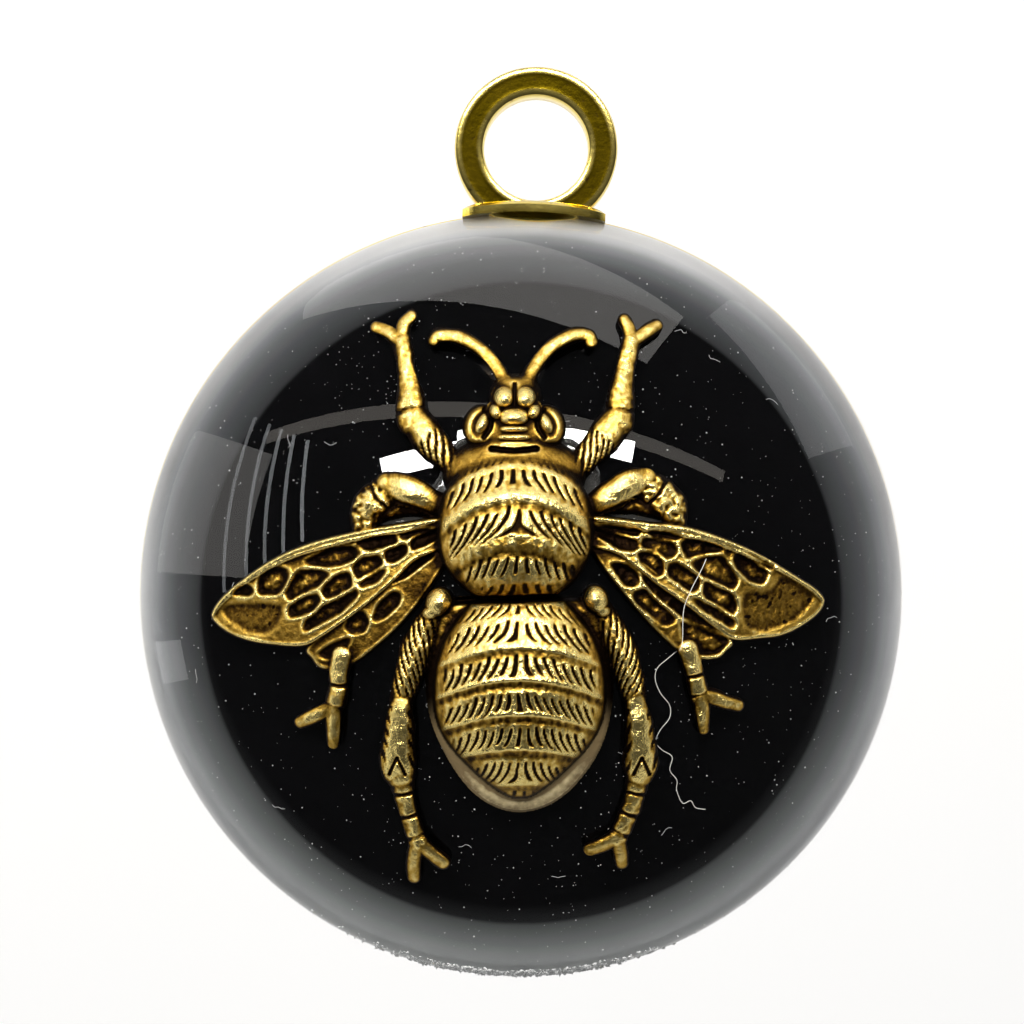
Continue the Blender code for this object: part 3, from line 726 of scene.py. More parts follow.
# The limbs, each through points (X, Z, radius, height of its middle). The middle leg is a pod, a knee that
# bends down to the wing, a ledge below them, and a foot that comes out under the hind wing.
LIMBS_LEFT = {
    "ledge": ((-8.0, 8.7, 0.7, 0.5), (-10.5, 8.7, 0.62, 0.6), (-13.2, 8.2, 0.7, 0.6)),
    "knee": ((-12.2, 10.4, 1.2, 0.9), (-13.7, 9.3, 1.35, 1.0), (-14.3, 8.2, 1.2, 0.9),
             (-14.5, 6.6, 0.9, 0.7)),
    "pod": ((-7.2, 8.9, 0.8, 1.0), (-8.7, 9.8, 1.0, 1.4), (-10.5, 10.6, 1.15, 1.6), (-12.2, 11.0, 0.95, 1.3)),
    "foot": ((-16.6, -5.4, 0.85, 0.7), (-16.9, -7.0, 0.8, 0.8), (-16.9, -8.4, 0.75, 0.8),
             (-17.5, -10.4, 0.82, 0.8)),
    "foot_claws": (((-17.4, -10.2, 0.62, 0.7), (-19.2, -11.1, 0.64, 0.8), (-20.6, -11.8, 0.58, 0.7)),
                   ((-17.5, -10.4, 0.74, 0.7), (-17.4, -12.2, 0.66, 0.8), (-17.5, -13.8, 0.52, 0.7))),
    "femur": ((-7.6, -1.0, 1.0, 0.9), (-8.8, -3.4, 1.25, 0.9), (-9.9, -6.2, 1.2, 0.9),
              (-10.9, -9.4, 0.95, 0.8)),
    "tarsus": ((-11.0, -16.6, 1.05, 0.7), (-10.7, -18.8, 0.85, 0.7), (-10.2, -21.0, 0.78, 0.7),
               (-9.4, -23.4, 0.85, 0.8)),
    "tibia": ((-10.9, -9.7, 0.82, 1.0), (-11.1, -11.4, 1.1, 1.1), (-11.2, -13.6, 1.26, 1.1),
              (-11.3, -15.6, 1.45, 1.0), (-11.1, -16.7, 1.2, 0.8)),
    "hind_claws": (((-9.4, -23.2, 0.72, 0.8), (-9.8, -25.0, 0.66, 0.8), (-9.9, -26.9, 0.6, 0.7)),
                   ((-9.3, -23.4, 0.72, 0.8), (-8.3, -24.4, 0.66, 0.8), (-7.1, -25.4, 0.62, 0.7))),
    "thigh": ((-5.6, 12.2, 0.9, 0.9), (-7.0, 13.9, 1.15, 0.9), (-8.5, 15.5, 1.35, 0.9),
              (-9.8, 17.3, 1.28, 0.9)),
    "shin": ((-9.9, 16.9, 1.25, 0.9), (-10.1, 18.3, 1.22, 0.9), (-10.2, 20.0, 0.98, 0.9),
             (-10.6, 22.5, 0.72, 0.9), (-11.0, 25.0, 0.7, 0.8)),
    "front_claws": (((-10.9, 24.6, 0.62, 0.8), (-12.3, 25.7, 0.6, 0.8), (-13.5, 26.2, 0.56, 0.7)),
                    ((-11.1, 24.8, 0.62, 0.8), (-10.9, 26.4, 0.58, 0.8), (-10.2, 27.2, 0.54, 0.7))),
}
LIMBS_RIGHT = {
    "ledge": ((8.0, 9.0, 0.7, 0.5), (10.6, 9.0, 0.62, 0.6), (13.4, 8.6, 0.7, 0.6)),
    "knee": ((12.4, 10.9, 1.2, 0.9), (14.1, 9.6, 1.35, 1.0), (14.8, 8.6, 1.2, 0.9), (15.1, 7.0, 0.9, 0.7)),
    "pod": ((7.0, 8.9, 0.8, 1.0), (8.6, 9.8, 1.0, 1.4), (10.4, 10.9, 1.15, 1.6), (12.2, 11.5, 0.95, 1.3)),
    "foot": ((16.3, -4.8, 0.85, 0.7), (16.8, -6.3, 0.78, 0.8), (17.1, -7.5, 0.72, 0.8),
             (17.5, -9.3, 0.8, 0.8)),
    "foot_claws": (((17.6, -9.0, 0.6, 0.7), (19.6, -9.7, 0.6, 0.8), (21.2, -10.2, 0.54, 0.7)),
                   ((17.6, -9.4, 0.7, 0.7), (17.8, -11.2, 0.62, 0.8), (17.9, -12.4, 0.5, 0.7))),
    "femur": ((7.7, -0.9, 1.0, 0.9), (9.2, -3.4, 1.25, 0.9), (10.4, -6.2, 1.2, 0.9), (11.2, -9.2, 0.95, 0.8)),
    "tarsus": ((11.7, -16.6, 1.05, 0.7), (11.3, -18.8, 0.85, 0.7), (10.7, -20.8, 0.78, 0.7),
               (9.7, -23.0, 0.85, 0.8)),
    "tibia": ((11.3, -9.6, 0.82, 1.0), (11.6, -11.4, 1.05, 1.1), (11.8, -13.6, 1.2, 1.1),
              (11.9, -15.4, 1.38, 1.0), (11.8, -16.6, 1.15, 0.8)),
    "hind_claws": (((9.7, -22.9, 0.72, 0.8), (10.0, -24.3, 0.64, 0.8), (10.2, -25.5, 0.56, 0.7)),
                   ((9.6, -23.0, 0.72, 0.8), (8.4, -23.6, 0.66, 0.8), (7.1, -24.1, 0.6, 0.7))),
    "thigh": ((5.6, 12.2, 0.9, 0.9), (7.0, 13.9, 1.15, 0.9), (8.4, 15.5, 1.35, 0.9), (9.7, 17.2, 1.25, 0.9)),
    "shin": ((9.8, 16.9, 1.25, 0.9), (9.9, 18.2, 1.15, 0.9), (10.1, 20.0, 0.98, 0.9), (10.5, 22.3, 0.78, 0.9),
             (11.1, 24.8, 0.74, 0.8)),
    "front_claws": (((11.0, 24.6, 0.62, 0.8), (12.4, 25.6, 0.6, 0.8), (13.6, 26.3, 0.54, 0.7)),
                    ((11.1, 24.8, 0.62, 0.8), (10.9, 26.0, 0.58, 0.8), (10.5, 26.9, 0.5, 0.7))),
}
ANTENNAE = (
    ((-0.7, 19.6, 0.64, 1.8), (-1.7, 21.9, 0.6, 1.5), (-3.4, 23.9, 0.58, 1.2), (-5.6, 25.1, 0.58, 1.0),
     (-7.4, 25.2, 0.54, 0.9), (-7.9, 24.8, 0.52, 0.8)),
    ((0.8, 19.6, 0.64, 1.8), (1.6, 21.9, 0.6, 1.5), (3.1, 23.9, 0.58, 1.2), (5.2, 25.2, 0.58, 1.0),
     (6.8, 25.3, 0.56, 0.9), (7.2, 24.7, 0.58, 0.8)),
)
# The pale flange that shows round the lower half of the abdomen.
ABDOMEN_FLANGE = (
    (-6.4, 0.2), (-8.2, -3.2), (-8.6, -7.4), (-8.1, -11.4), (-6.4, -15.3), (-4.3, -18.2), (-2.0, -19.8),
    (0.3, -20.3), (2.7, -19.8), (5.1, -18.2), (7.5, -15.1), (8.8, -11.6), (9.2, -7.6), (8.7, -3.4),
    (6.9, 0.2),
)


def lay_legs(limbs, side, notch_x):
    """The three legs of one side, -1 for the left. 'notch_x' is the middle of the notch in its hind tibia."""
    tube(limbs["ledge"], rough=0.06)
    tube(limbs["knee"], rough=0.1, joints=(0.28,))
    tube(limbs["pod"], rough=0.012)
    tube(limbs["foot"], joints=(0.56, 0.98), rough=0.02)
    for claw in limbs["foot_claws"]:
        tube(claw, rough=0.012)
    # Hind leg: feathered femur, jointed tarsus, swelling tibia with a notch at its end, two claws.
    tube(limbs["femur"], barbs=((0.05, 0.97, 0.98, -1.35 * side, 0.36, 0.1),), rough=0.02, shade=0.24)
    tube(limbs["tarsus"], joints=(0.3, 0.62, 0.93), rough=0.03)
    # The tibia's negative shade is a painted highlight.
    tube(limbs["tibia"], barbs=((0.1, 0.92, 1.45, -1.1 * side, 0.22, 0.6),), rough=0.012, shade=-0.14)
    for lean in (-1, 1):
        notch = ((notch_x, -15.0), (notch_x + 0.45 * lean, -15.9), (notch_x + 0.75 * lean, -16.6))
        engrave_line(notch, 0.24, 0.3)
    for claw in limbs["hind_claws"]:
        tube(claw, rough=0.012)
    # Front leg: hatched thigh, smooth shin, two claws.
    tube(limbs["thigh"], barbs=((0.0, 0.66, 1.0, 1.3 * side, 0.34, 0.0),), rough=0.02, shade=0.08)
    tube(limbs["shin"], joints=(0.14,), rough=0.03)
    for claw in limbs["front_claws"]:
        tube(claw, rough=0.01)


def lay_head():
    """Neck, skull, ringed eyes, brow knobs, frons, three mouth plates and the slit behind them."""
    # The neck's mark is painted shade.
    bump_shape(-0.2, 11.8, 6.8, 4.0, 3.6, 0.7, power=2.0, blend=0.6, mark=0.09)
    bump_shape(-0.2, 16.1, 4.6, 2.8, 2.7, 0.9, power=2.4, blend=0.4, mark=0.12)
    bump_shape(-0.1, 19.1, 2.5, 2.4, 3.0, 1.0, power=2.3, blend=0.6)
    for s in (-1, 1):
        cx = -0.2 + 3.05 * s
        bump_shape(cx + 0.1 * s, 16.45, 1.75, 2.1, 3.1, 1.2, turn=8 * s, blend=0.25, mark=0.2)
        engrave(cx, 16.6, 1.05, 1.55, 0.42, turn=26 * s)
        bump_shape(cx - 0.05 * s, 16.65, 0.66, 1.2, 3.08, 1.9, turn=26 * s, mark=0.02)
        crease = ((cx - 0.3 * s, 18.0), (cx - 0.78 * s, 17.2), (cx - 0.78 * s, 16.2), (cx - 0.2 * s, 15.3))
        engrave_line(crease, 0.3, 0.5)
        bump_shape(-0.15 + 0.98 * s, 19.1, 1.05, 1.15, 3.7, 2.2, blend=0.2)
        bump_shape(-0.15 + 1.75 * s, 17.75, 0.62, 0.8, 3.4, 2.3, turn=-25 * s, blend=0.2)
    engrave_line(((-0.15, 20.4), (-0.15, 18.4)), 0.28, 0.35)
    bump_shape(-0.2, 17.3, 1.45, 0.9, 3.9, 2.3, power=2.6)
    bump_shape(-0.2, 16.15, 1.5, 0.4, 3.2, 2.2, power=2.6)
    bump_shape(-0.2, 15.35, 1.8, 0.42, 3.1, 2.0, power=2.4)
    bump_shape(-0.2, 14.75, 2.0, 0.32, 2.9, 1.9, power=2.4)
    engrave_line(((-2.3, 14.25), (-0.2, 14.05), (1.9, 14.25)), 0.36, 0.8)


def lay_body():
    """Thorax, the abdomen on its pale flange, the waist's groove and the two balls on each side of it."""
    bump_shape(-0.1, 6.8, 7.35, 7.15, 5.9, 0.9, power=2.25, blend=0.9, relief=thorax_relief)
    at = window(ABDOMEN_FLANGE, 1.0)
    f = outline_distance(ABDOMEN_FLANGE, XX[at], ZZ[at])
    h = 1.15 + 0.55 * ramp(f, 0.0, 1.2) - 0.35 * (1 - ramp(f, 0.0, 0.3)) + 0.02 * FINE[at]
    lay(at, f, h, mark=-0.3)
    flange_mask[at] = np.where((f > 0) & (h >= height[at]), 1.0, flange_mask[at])
    bump_shape(0.3, -8.9, 8.2, 10.1, 6.3, 1.0, power=2.15, relief=abdomen_relief, taper=0.85)
    engrave_line(((-6.6, -0.1), (-3.0, 0.05), (0.2, 0.15), (3.5, 0.25), (7.0, 0.35)), 0.42, 1.1)
    bump_shape(-7.3, -0.2, 1.25, 1.55, 3.0, 1.0, turn=-25)
    bump_shape(-7.9, -1.1, 1.1, 0.8, 2.5, 0.9, turn=20)
    bump_shape(7.5, 0.1, 1.2, 1.5, 3.0, 1.0, turn=20)
    bump_shape(8.0, -0.9, 1.0, 0.8, 2.4, 0.9, turn=-20)


def make_relief():
    """Legs lie lowest, then the antennae, the hind wings, the wings and the body."""
    lay_legs(LIMBS_LEFT, -1, -11.3)
    lay_legs(LIMBS_RIGHT, 1, 11.9)
    for antenna in ANTENNAE:
        tube(antenna, rough=0.01)
    wing(HIND_RIGHT, HIND_CELLS_RIGHT, 0.95, 0.6, 6.0)
    wing(HIND_LEFT, HIND_CELLS_LEFT, 0.95, 0.6, -6.0)
    wing(WING_RIGHT, CELLS_RIGHT, 1.22, 0.8, 6.0, FIELD_RIGHT, COSTA_RIGHT)
    wing(WING_LEFT, CELLS_LEFT, 1.22, 0.8, -6.0, FIELD_LEFT, COSTA_LEFT)
    lay_head()
    lay_body()


def relief_mesh(x, z, height, inside, skirt=-0.06):
    """X, Z, height and faces of a relief: whole cells, cells cut along the outline, and a wall down."""
    keep = inside > 0
    number = np.full(x.shape, -1)
    number[keep] = np.arange(keep.sum())
    xs, zs, hs = list(x[keep]), list(z[keep]), list(height[keep])
    whole = keep[:-1, :-1] & keep[1:, :-1] & keep[1:, 1:] & keep[:-1, 1:]
    some = keep[:-1, :-1] | keep[1:, :-1] | keep[1:, 1:] | keep[:-1, 1:]
    i, j = np.nonzero(whole)
    corners = [number[i, j], number[i + 1, j], number[i + 1, j + 1], number[i, j + 1]]
    faces = [tuple(q) for q in np.stack(corners, 1)]
    cuts, wall = {}, []

    def cut(a, b):
        """The point on this grid edge where the outline crosses it."""
        key = (a, b) if a < b else (b, a)
        if key not in cuts:
            fa, fb = inside[a], inside[b]
            t = fa / (fa - fb)
            cuts[key] = len(xs)
            xs.append(x[a] + (x[b] - x[a]) * t)
            zs.append(z[a] + (z[b] - z[a]) * t)
            inner, outer, part = (height[a], height[b], t) if fa > 0 else (height[b], height[a], 1 - t)
            hs.append(inner + (outer - inner) * part if outer > 0.2 else inner * 0.8)
        return cuts[key]

    for i, j in zip(*np.nonzero(some & ~whole)):
        ring = [(i, j), (i + 1, j), (i + 1, j + 1), (i, j + 1)]
        poly, kinds = [], []
        for a, b in zip(ring, ring[1:] + ring[:1]):
            if keep[a]:
                poly.append(number[a])
                kinds.append(0)
            if keep[a] != keep[b]:
                poly.append(cut(a, b))
                kinds.append(1)
        if len(poly) >= 3:
            faces.append(tuple(int(q) for q in poly))
        for k in range(len(poly)):
            n = (k + 1) % len(poly)
            if kinds[k] and kinds[n]:
                wall.append((poly[k], poly[n]))
    xs, zs, hs = np.array(xs), np.array(zs), np.array(hs)
    edge = sorted({p for pair in wall for p in pair})
    below = {p: len(xs) + k for k, p in enumerate(edge)}
    xs, zs = np.append(xs, xs[edge]), np.append(zs, zs[edge])
    hs = np.append(hs, np.full(len(edge), skirt))
    faces += [(b, a, below[a], below[b]) for a, b in wall]
    return xs, zs, hs, faces


def set_attribute(obj, name, values):
    """One number for each point, which the material reads by its name."""
    attribute = obj.data.attributes.new(name, "FLOAT", "POINT")
    attribute.data.foreach_set("value", np.asarray(values, np.float32))


def make_bee(material):
    """The casting, with each point's hollow patina and painted shade, and its pale lower flange."""
    make_relief()
    body = (inside > -0.05).astype(float)

    def recess(sigma):
        """How far each place lies below the casting round it."""
        return smooth(height * body, sigma) / np.maximum(smooth(body, sigma), 1e-3) - height

    slope = np.hypot(*np.gradient(smooth(height, 2.5), STEP)) * (inside > 0.35)
    patina_and_painted_shade = 0.395 + 2.2 * recess(2.2) + 0.85 * recess(6.0) + 0.3 * recess(14.0) + 0.62 * stain_and_painted_shade
    # Painted shade on the steep flanks.
    patina_and_painted_shade += 0.26 * ramp(slope, 0.35, 1.5)
    # The flange is pale only on its lower part: partly rubbed clean, partly a painted reflection of the white
    # wall.
    pale = flange_mask * ramp(-ZZ, 9.0, 13.0)
    xs, zs, hs, faces = relief_mesh(XX, ZZ, height, inside)
    points = on_skin(xs + BEE_SHIFT, zs, hs)
    obj = new_piece("bee_casting", points, faces, material, "antique_brass", ["bee"])
    i = np.clip(np.round((xs - GRID_X[0]) / STEP).astype(int), 0, len(GRID_X) - 1)
    j = np.clip(np.round((zs - GRID_Z[0]) / STEP).astype(int), 0, len(GRID_Z) - 1)
    set_attribute(obj, "patina_and_painted_shade", np.where(hs < 0.05, 0.85, np.clip(patina_and_painted_shade[i, j], 0.0, 1.0)))
    set_attribute(obj, "pale", pale[i, j])


# ---------------------------------------------------------------- ball, frame and ring

def make_ball():
    """The clear skin with its flat back, and the core embedded in it."""
    back = 4.5
    outer = dome_profile(0.0)
    side = [(BALL_RADIUS, 0.35), (BALL_RADIUS, 0.8), (BALL_RADIUS - 0.2, 1.0), (37.1, 1.0), (37.0, 1.1),
            (37.0, back - 0.1), (36.9, back), (30.0, back), (0.0, back)]
    points, faces = lathe(outer + side)
    new_piece("resin_dome", points, faces, clear_resin(), "clear_resin", ["clear_dome"])
    profile = dome_profile(-SKIN_THICKNESS, 40, 20)
    edge = profile[-1][0]
    side = [(edge, 2.0), (edge, 4.1), (edge - 0.3, 4.35), (20.0, 4.35), (0.0, 4.35)]
    points, faces = lathe(profile + side)
    new_piece("dark_core", points, faces, black_core(), "black_core", ["black_base"])


def make_frame(material):
    """A thin pressed ring round the back, with a closed floor and a shallow groove in it."""
    inner = FRAME_RADIUS - 0.5
    back = FRAME_BACK
    inside_wall = [(0.0, back - 1.15), (inner - 0.5, back - 1.15), (inner - 0.1, back - 1.3),
                   (inner, back - 1.7)]
    lip = [(inner, 1.45), (inner + 0.12, 1.33), (FRAME_RADIUS - 0.12, 1.33), (FRAME_RADIUS, 1.45)]
    outside = [(FRAME_RADIUS, 3.4), (FRAME_RADIUS - 0.05, back - 0.8), (FRAME_RADIUS - 0.35, back - 0.25),
               (FRAME_RADIUS - 0.9, back)]
    groove = [(34.0, back), (33.6, back - 0.18), (33.0, back - 0.18), (32.6, back), (0.0, back)]
    points, faces = lathe(inside_wall + lip + outside + groove)
    obj = new_piece("back_frame_gold", points, faces, material, "gold_plate", ["back_frame"])
    obj.data.set_sharp_from_angle(angle=math.radians(50))
    radius = np.hypot(points[:, 0], points[:, 2] - BALL_Z * MM) / MM
    on_wall = (radius > FRAME_RADIUS - 0.6) & (points[:, 1] < (back - 0.8) * MM)
    set_attribute(obj, "edge", np.where(on_wall, 0.9, 0.1))


def ring_band(outer, hole, half, steps=160):
    """The flat ring, with bevelled edges worn bright; the top of its hole is at the origin."""
    bevel = 0.42
    nick = bevel * 0.3
    section = []
    for radius, way in ((hole, 1), (outer, -1)):
        corner = [(radius + way * bevel, half), (radius + way * nick, half - nick), (radius, half - bevel)]
        back = [(r, -y) for r, y in corner]
        section += back + corner[::-1] if way > 0 else corner + back[::-1]
    worn = len(section)
    flat = outer - hole - 2 * bevel - 0.7
    section += [(outer - bevel - 0.35 - flat * k / 4, -half + 0.05) for k in range(5)]
    points, faces, edge = [], [], []
    for i in range(steps):
        a = 2 * math.pi * i / steps
        for k, (r, y) in enumerate(section):
            points.append((r * math.sin(a) * MM, y * MM, (r * math.cos(a) - hole) * MM))
            edge.append(1.0 if k < worn else 0.0)
    n = len(section)
    for i in range(steps):
        j = (i + 1) % steps
        faces += [(i * n + k, j * n + k, j * n + (k + 1) % n, i * n + (k + 1) % n) for k in range(n)]
    return points, faces, edge


def ring_foot():
    """The saddle between the ring and the ball: a grid bent over the ball, with another above it."""
    width, depth, thick = 7.1, 3.2, 1.2
    cells_x, cells_y = 36, 14
    row = cells_y + 1
    layer = (cells_x + 1) * row
    points, faces, edge = [], [], []
    for top in (1, 0):
        for i in range(cells_x + 1):
            u = -1 + 2 * i / cells_x
            for j in range(cells_y + 1):
                v = -1 + 2 * j / cells_y
                x = width * u
                y = depth * v * math.sqrt(max(1 - 0.55 * abs(u) ** 6, 0.05)) - 0.2
                rim = max(abs(u), abs(v)) ** 8
                ball = BALL_Z + math.sqrt((BALL_RADIUS + 0.02) ** 2 - x * x)
                z = ball + (thick * (1 - 0.35 * rim) if top else 0.0)
                points.append((x * MM, y * MM, z * MM))
                edge.append(0.35 + 0.65 * rim if top else 0.2)
    for i in range(cells_x):
        for j in range(cells_y):
            a = i * row + j
            b = a + layer
            faces += [(a, a + row, a + row + 1, a + 1), (b, b + 1, b + row + 1, b + row)]
    sides = [(i * row + j, row, j > 0) for i in range(cells_x) for j in (0, cells_y)]
    sides += [(i * row + j, 1, i == 0) for j in range(cells_y) for i in (0, cells_x)]
    for a, step, flip in sides:
        quad = (a, a + layer, a + layer + step, a + step)
        faces.append(quad[::-1] if flip else quad)
    return points, faces, edge


def make_ring(material):
    """The hanging ring and its foot, which follows the ball."""
    low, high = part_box("hanging_loop")
    *band, band_edge = ring_band((high.x - low.x) / 2 / MM, 5.2, 2.0)
    *foot, foot_edge = ring_foot()
    points, faces = joined([band, foot])
    obj = new_piece("hanging_ring", points, faces, material, "gold_plate", ["hanging_loop"])
    obj.data.set_sharp_from_angle(angle=math.radians(40))
    set_attribute(obj, "edge", band_edge + foot_edge)


GLUE_STEP = 0.16
GLUE = (
    (-14.9, 7.4), (-14.3, 10.0), (-13.2, 10.9), (-12.0, 12.0), (-10.9, 11.9), (-9.6, 10.8), (-8.3, 10.6),
    (-7.3, 11.8), (-6.8, 13.2), (-6.0, 14.6), (-4.8, 15.3), (-2.0, 14.6), (2.0, 14.6), (4.6, 15.3),
    (5.9, 14.8), (7.2, 13.4), (7.9, 12.2), (8.0, 10.9), (8.7, 10.6), (9.9, 11.4), (11.6, 12.2),
    (12.9, 12.2), (13.8, 11.4), (14.8, 10.6), (15.3, 9.0), (15.8, 7.4), (14.0, 7.0), (10.0, 7.0),
    (6.0, 4.0), (-6.0, 4.0), (-10.0, 7.0), (-13.4, 6.8),
)


def make_glue(material):
    """Clear glue that wells up round the shoulders, in one wavy sheet with a rounded edge."""
    x, z = np.meshgrid(np.arange(-16.4, 17.2, GLUE_STEP), np.arange(3.2, 16.4, GLUE_STEP), indexing="ij")
    depth_in = outline_distance(GLUE, x, z)
    round_edge = np.sqrt(np.clip(1 - (1 - np.clip(depth_in / 0.7, 0, 1)) ** 2, 0, 1))
    thick = 0.06 + (0.34 + 0.05 * np.sin(x * 1.3) * np.sin(z * 1.7)) * round_edge
    xs, zs, hs, faces = relief_mesh(x, z, thick, depth_in, skirt=0.03)
    points = on_skin(xs + BEE_SHIFT, zs, hs)
    new_piece("glue_sheet", points, faces, material, "clear_glue", ["glue_pad"])


# ---------------------------------------------------------------- dust, lint and rubbed resin

def speck(x, z, size, lift, rng, stretch=1.0):
    """A small irregular crumb with eight faces, on the dome."""
    base = np.array([(1, 0, 0), (-1, 0, 0), (0, 0, 1), (0, 0, -1), (0, -1, 0), (0, 0.4, 0)], float)
    base = base * (1 + 0.4 * rng.uniform(-1, 1, (6, 1))) * size
    base[:, 0] *= stretch
    a = rng.uniform(0, math.pi)
    c, s = math.cos(a), math.sin(a)
    px = x + base[:, 0] * c - base[:, 2] * s
    pz = z + base[:, 0] * s + base[:, 2] * c
    py = skin_y(np.array([x]), np.array([z]))[0] - lift + base[:, 1]
    faces = [(0, 4, 2), (2, 4, 1), (1, 4, 3), (3, 4, 0), (2, 5, 0), (1, 5, 2), (3, 5, 1), (0, 5, 3)]
    return to_frame(px, np.asarray(py), pz), faces


def thread(path, radius, lift, sides=5):
    """A fine fibre lying on the dome through points (X, Z)."""
    p = curve_through(path, False, 6)
    x, z = p[:, 0], p[:, 1]
    centre = on_skin(x, z, lift)
    points, faces = [], []
    for i, c in enumerate(centre):
        a, b = centre[max(i - 1, 0)], centre[min(i + 1, len(centre) - 1)]
        along = Vector(b - a).normalized()
        first = along.cross(Vector((0, 1, 0))).normalized()
        second = along.cross(first)
        thin = radius * (0.25 if i in (0, len(centre) - 1) else 1.0) * MM
        for k in range(sides):
            t = 2 * math.pi * k / sides
            points.append(tuple(Vector(c) + first * (math.cos(t) * thin) + second * (math.sin(t) * thin)))
    for i in range(len(centre) - 1):
        for k in range(sides):
            n = (k + 1) % sides
            faces.append((i * sides + k, i * sides + n, (i + 1) * sides + n, (i + 1) * sides + k))
    faces.append(tuple(range(sides))[::-1])
    faces.append(tuple((len(centre) - 1) * sides + k for k in range(sides)))
    return points, faces


LINT_RADIUS = 0.035
LINT = ((18.0, 3.9), (17.5, 2.8), (16.5, 0.9), (15.8, -1.0), (15.7, -3.9), (15.4, -4.8), (14.4, -5.6),
        (13.4, -6.5), (13.2, -7.6), (13.7, -8.9), (14.6, -10.1), (14.6, -11.3), (13.7, -12.5),
        (13.3, -13.6), (13.9, -14.4), (14.9, -15.1), (14.7, -16.4), (15.4, -17.4), (15.4, -18.4),
        (16.0, -19.7), (16.8, -19.5), (17.3, -20.2), (18.3, -20.4))


def make_dust(rng):
    """Specks all over the front, three denser patches of them, and short fibres."""
    reach = 36.0
    parts = []
    for _ in range(1500):
        radius = reach * math.sqrt(rng.uniform(0, 1))
        a = rng.uniform(0, 2 * math.pi)
        size = 0.025 + 0.06 * rng.uniform(0, 1) ** 3
        parts.append(speck(radius * math.cos(a), radius * math.sin(a), size, 0.01, rng))
    for cx, cz, spread, count in ((-14.0, 21.0, 3.0, 60), (2.0, -27.0, 6.0, 60), (22.0, 3.0, 5.0, 40)):
        for _ in range(count):
            x, z = rng.normal(cx, spread), rng.normal(cz, spread)
            if math.hypot(x, z) < reach:
                parts.append(speck(x, z, 0.02 + 0.03 * rng.uniform(), 0.01, rng))
    for _ in range(34):
        radius, a = 34.0 * math.sqrt(rng.uniform(0, 1)), rng.uniform(0, 2 * math.pi)
        x, z, turn = radius * math.cos(a), radius * math.sin(a), rng.uniform(0, 2 * math.pi)
        path = [(x, z)]
        for _ in range(4):
            turn += rng.normal(0, 0.5)
            path.append((path[-1][0] + 0.35 * math.cos(turn), path[-1][1] + 0.35 * math.sin(turn)))
        parts.append(thread(path, 0.018, 0.02, 4))
    material = plain("dust_white", (0.75, 0.75, 0.74))
    new_piece("dust", *joined(parts), material, "clear_resin", [], smooth=False)


def make_lint():
    """One long loose thread, which starts on the wing and goes on over the ball."""
    path = [(x + BEE_SHIFT, z) for x, z in LINT]
    over_wing = thread([place for place in path if place[1] > -5.5], LINT_RADIUS, 1.75)
    on_ball = thread([place for place in path if place[1] <= -4.0], LINT_RADIUS, 0.06)
    material = plain("lint_pale", (0.82, 0.8, 0.74))
    new_piece("lint", *joined([over_wing, on_ball]), material, "clear_resin", [])


def make_crumbs(rng):
    """Crumbs of rubbed resin along the lower edge."""
    parts = []
    for _ in range(900):
        a = math.radians(rng.normal(-91, 11))
        radius = 36.9 + 1.0 * rng.uniform() ** 0.6
        x, z = radius * math.cos(a), radius * math.sin(a)
        parts.append(speck(x, z, 0.05 + 0.13 * rng.uniform() ** 2, 0.02, rng, 1.6))
    material = plain("resin_crumbs", (0.85, 0.85, 0.84))
    new_piece("rubbed_crumbs", *joined(parts), material, "clear_resin", [], smooth=False)


# ---------------------------------------------------------------- stage, lights and camera

def direction(azimuth, elevation):
    """A unit vector from the ball, as the camera sees it: azimuth to the right, elevation up, in degrees."""
    a, e = math.radians(azimuth), math.radians(elevation)
    v = Vector((math.sin(a) * math.cos(e), -math.cos(a) * math.cos(e), math.sin(e)))
    return Matrix.Rotation(-TILT, 3, "Y") @ v


def panel(name, azimuth, elevation, distance, width, high, watts, colour=WHITE, roll=0.0):
    """A soft rectangular light that faces the ball."""
    data = bpy.data.lights.new(name, "AREA")
    data.shape = "RECTANGLE"
    data.size, data.size_y, data.energy, data.color = width, high, watts, colour
    obj = bpy.data.objects.new(name, data)
    bpy.context.scene.collection.objects.link(obj)
    centre = Vector((0, 0, BALL_Z * MM))
    towards = direction(azimuth, elevation)
    obj.location = centre + towards * distance
    turn = (-towards).to_track_quat("-Z", "Y").to_matrix() @ Matrix.Rotation(math.radians(roll), 3, "Z")
    obj.rotation_euler = turn.to_euler()
    obj.visible_camera = False


def stage_sheet(name, size, place, turn, glow):
    """A pale square that isn't part of the object."""
    mesh = bpy.data.meshes.new(name)
    h = size / 2
    mesh.from_pydata([(-h, -h, 0), (h, -h, 0), (h, h, 0), (-h, h, 0)], [], [(0, 1, 2, 3)])
    mesh.materials.append(plain(name + "_pale", (0.97, 0.97, 0.97), 0.9, 6.0, glow))
    obj = bpy.data.objects.new(name, mesh)
    bpy.context.scene.collection.objects.link(obj)
    obj.location, obj.rotation_euler = place, turn
    return obj


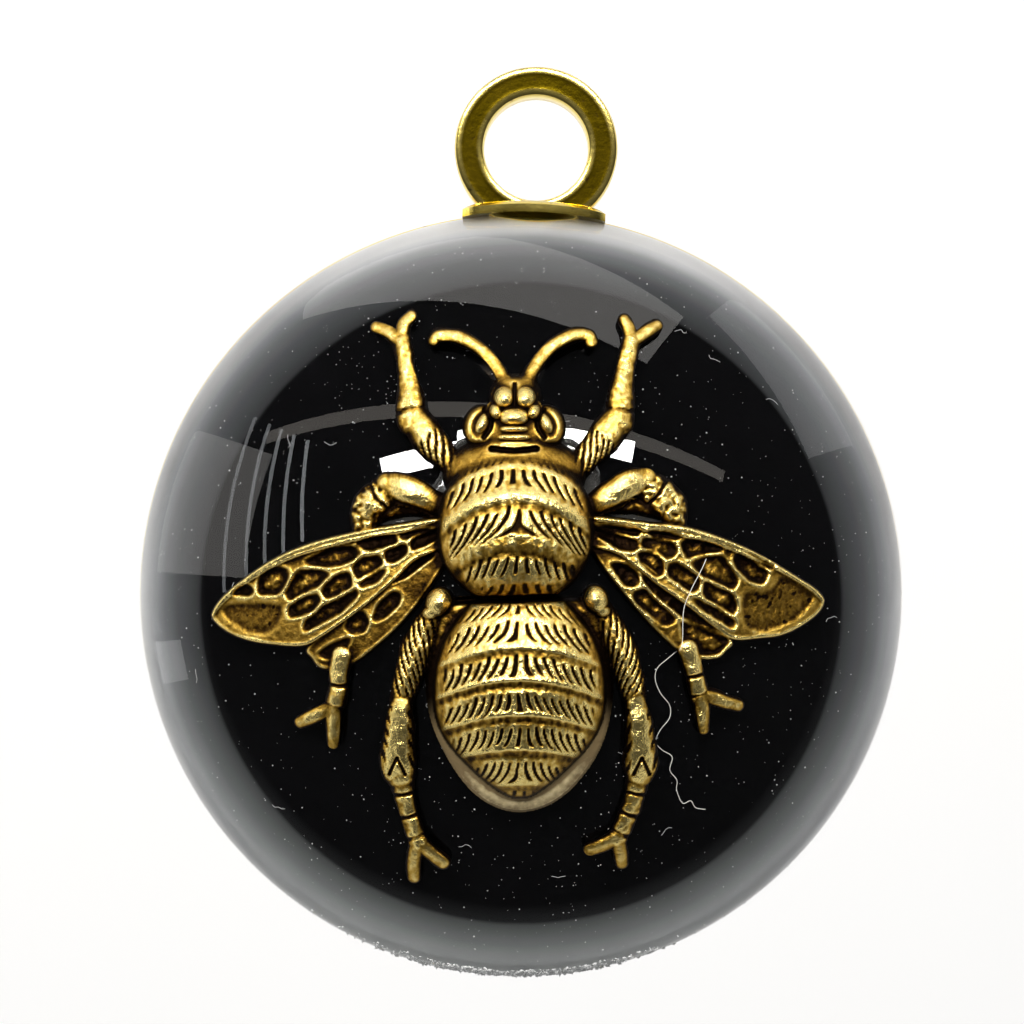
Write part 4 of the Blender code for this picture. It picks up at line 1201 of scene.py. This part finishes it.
def make_stage():
    """A pale wall behind, a floor far below, and a sky that is bright to the front and dim behind."""
    stage_sheet("backdrop", 6.0, (0, 0.62, 0), (math.pi / 2, 0, 0), 0.3)
    floor = stage_sheet("floor", 20.0, (0, 0, -0.6), (0, 0, 0), 0.42)
    # The ball hung on a wall, with nothing pale under it to shine in its lower half.
    floor.visible_glossy = floor.visible_transmission = floor.visible_diffuse = False
    world = bpy.data.worlds.new("studio")
    bpy.context.scene.world = world
    world.use_nodes = True
    tree = world.node_tree
    kinds = ("TexCoord", "SeparateXYZ", "MapRange", "LightPath", "Math")
    coords, parts, share, path, pick = (tree.nodes.new("ShaderNode" + kind) for kind in kinds)
    for key, value in (("From Min", -0.35), ("From Max", -0.05), ("To Min", 0.045), ("To Max", 1.0)):
        share.inputs[key].default_value = value
    pick.operation = "MAXIMUM"
    back = tree.nodes["Background"]
    back.inputs["Color"].default_value = (0.97, 0.98, 1.0, 1.0)
    for output, socket in ((coords.outputs["Generated"], parts.inputs[0]),
                           (parts.outputs["Y"], share.inputs["Value"]),
                           (share.outputs[0], pick.inputs[0]),
                           (path.outputs["Is Camera Ray"], pick.inputs[1]),
                           (pick.outputs[0], back.inputs["Strength"])):
        tree.links.new(output, socket)


def make_lights():
    """Three windows above, which the dome shows as bright bars, a ceiling, walls and a blind's slats."""
    day, warm, amber, cool = (1.0, 0.99, 0.97), (1.0, 0.97, 0.93), (1.0, 0.93, 0.84), (0.95, 0.98, 1.0)
    panel("window_left", -22, 27.5, 1.0, 0.32, 0.08, 4.6, day, roll=18.0)
    panel("window_middle", -3, 31.5, 1.0, 0.36, 0.085, 4.6, day)
    panel("window_right", 16.5, 31.0, 1.0, 0.31, 0.08, 4.6, day, roll=-12.0)
    panel("ceiling", -14, 71, 1.3, 1.7, 0.4, 4.2, warm)
    panel("beam", -6, 38, 1.2, 2.6, 0.07, 0.8, amber, roll=-2.0)
    panel("wall_left", -74, 14, 1.2, 0.6, 0.5, 1.3, warm)
    panel("wall_right", 78, 38, 1.3, 0.4, 0.7, 1.0)
    panel("wall_low", -88, -12, 1.2, 0.45, 0.14, 0.35)
    for i, azimuth in enumerate((-66, -61, -57, -53, -49)):
        panel("blind_%d" % i, azimuth, 15 + i, 1.1, 0.016, 0.62 - 0.06 * i, 0.075, cool, roll=4.0 + 2 * i)


def make_camera():
    """Level, in front of the ball and a little above its middle, turned with the bee."""
    data = bpy.data.cameras.new("camera")
    data.sensor_width, data.lens, data.clip_start, data.clip_end = 36.0, 105.5, 0.01, 50.0
    obj = bpy.data.objects.new("camera", data)
    bpy.context.scene.collection.objects.link(obj)
    centre = Matrix.Translation((0, 0, BALL_Z * MM))
    offset = Matrix.Translation((-0.0009, -0.3, 0.0083))
    level = Matrix.Rotation(math.pi / 2, 4, "X")
    obj.matrix_world = centre @ Matrix.Rotation(-TILT, 4, "Y") @ offset @ level
    bpy.context.scene.camera = obj


make_camera()
make_stage()
make_lights()
make_ball()
make_frame(gold("gold_frame", 0.35))
make_ring(gold("gold_ring", 1.0))
make_bee(antique_brass())
make_glue(clear_glue())
dirt = np.random.default_rng(21)
make_dust(dirt)
make_lint()
make_crumbs(dirt)
bpy.context.scene.view_settings.view_transform = "Standard"
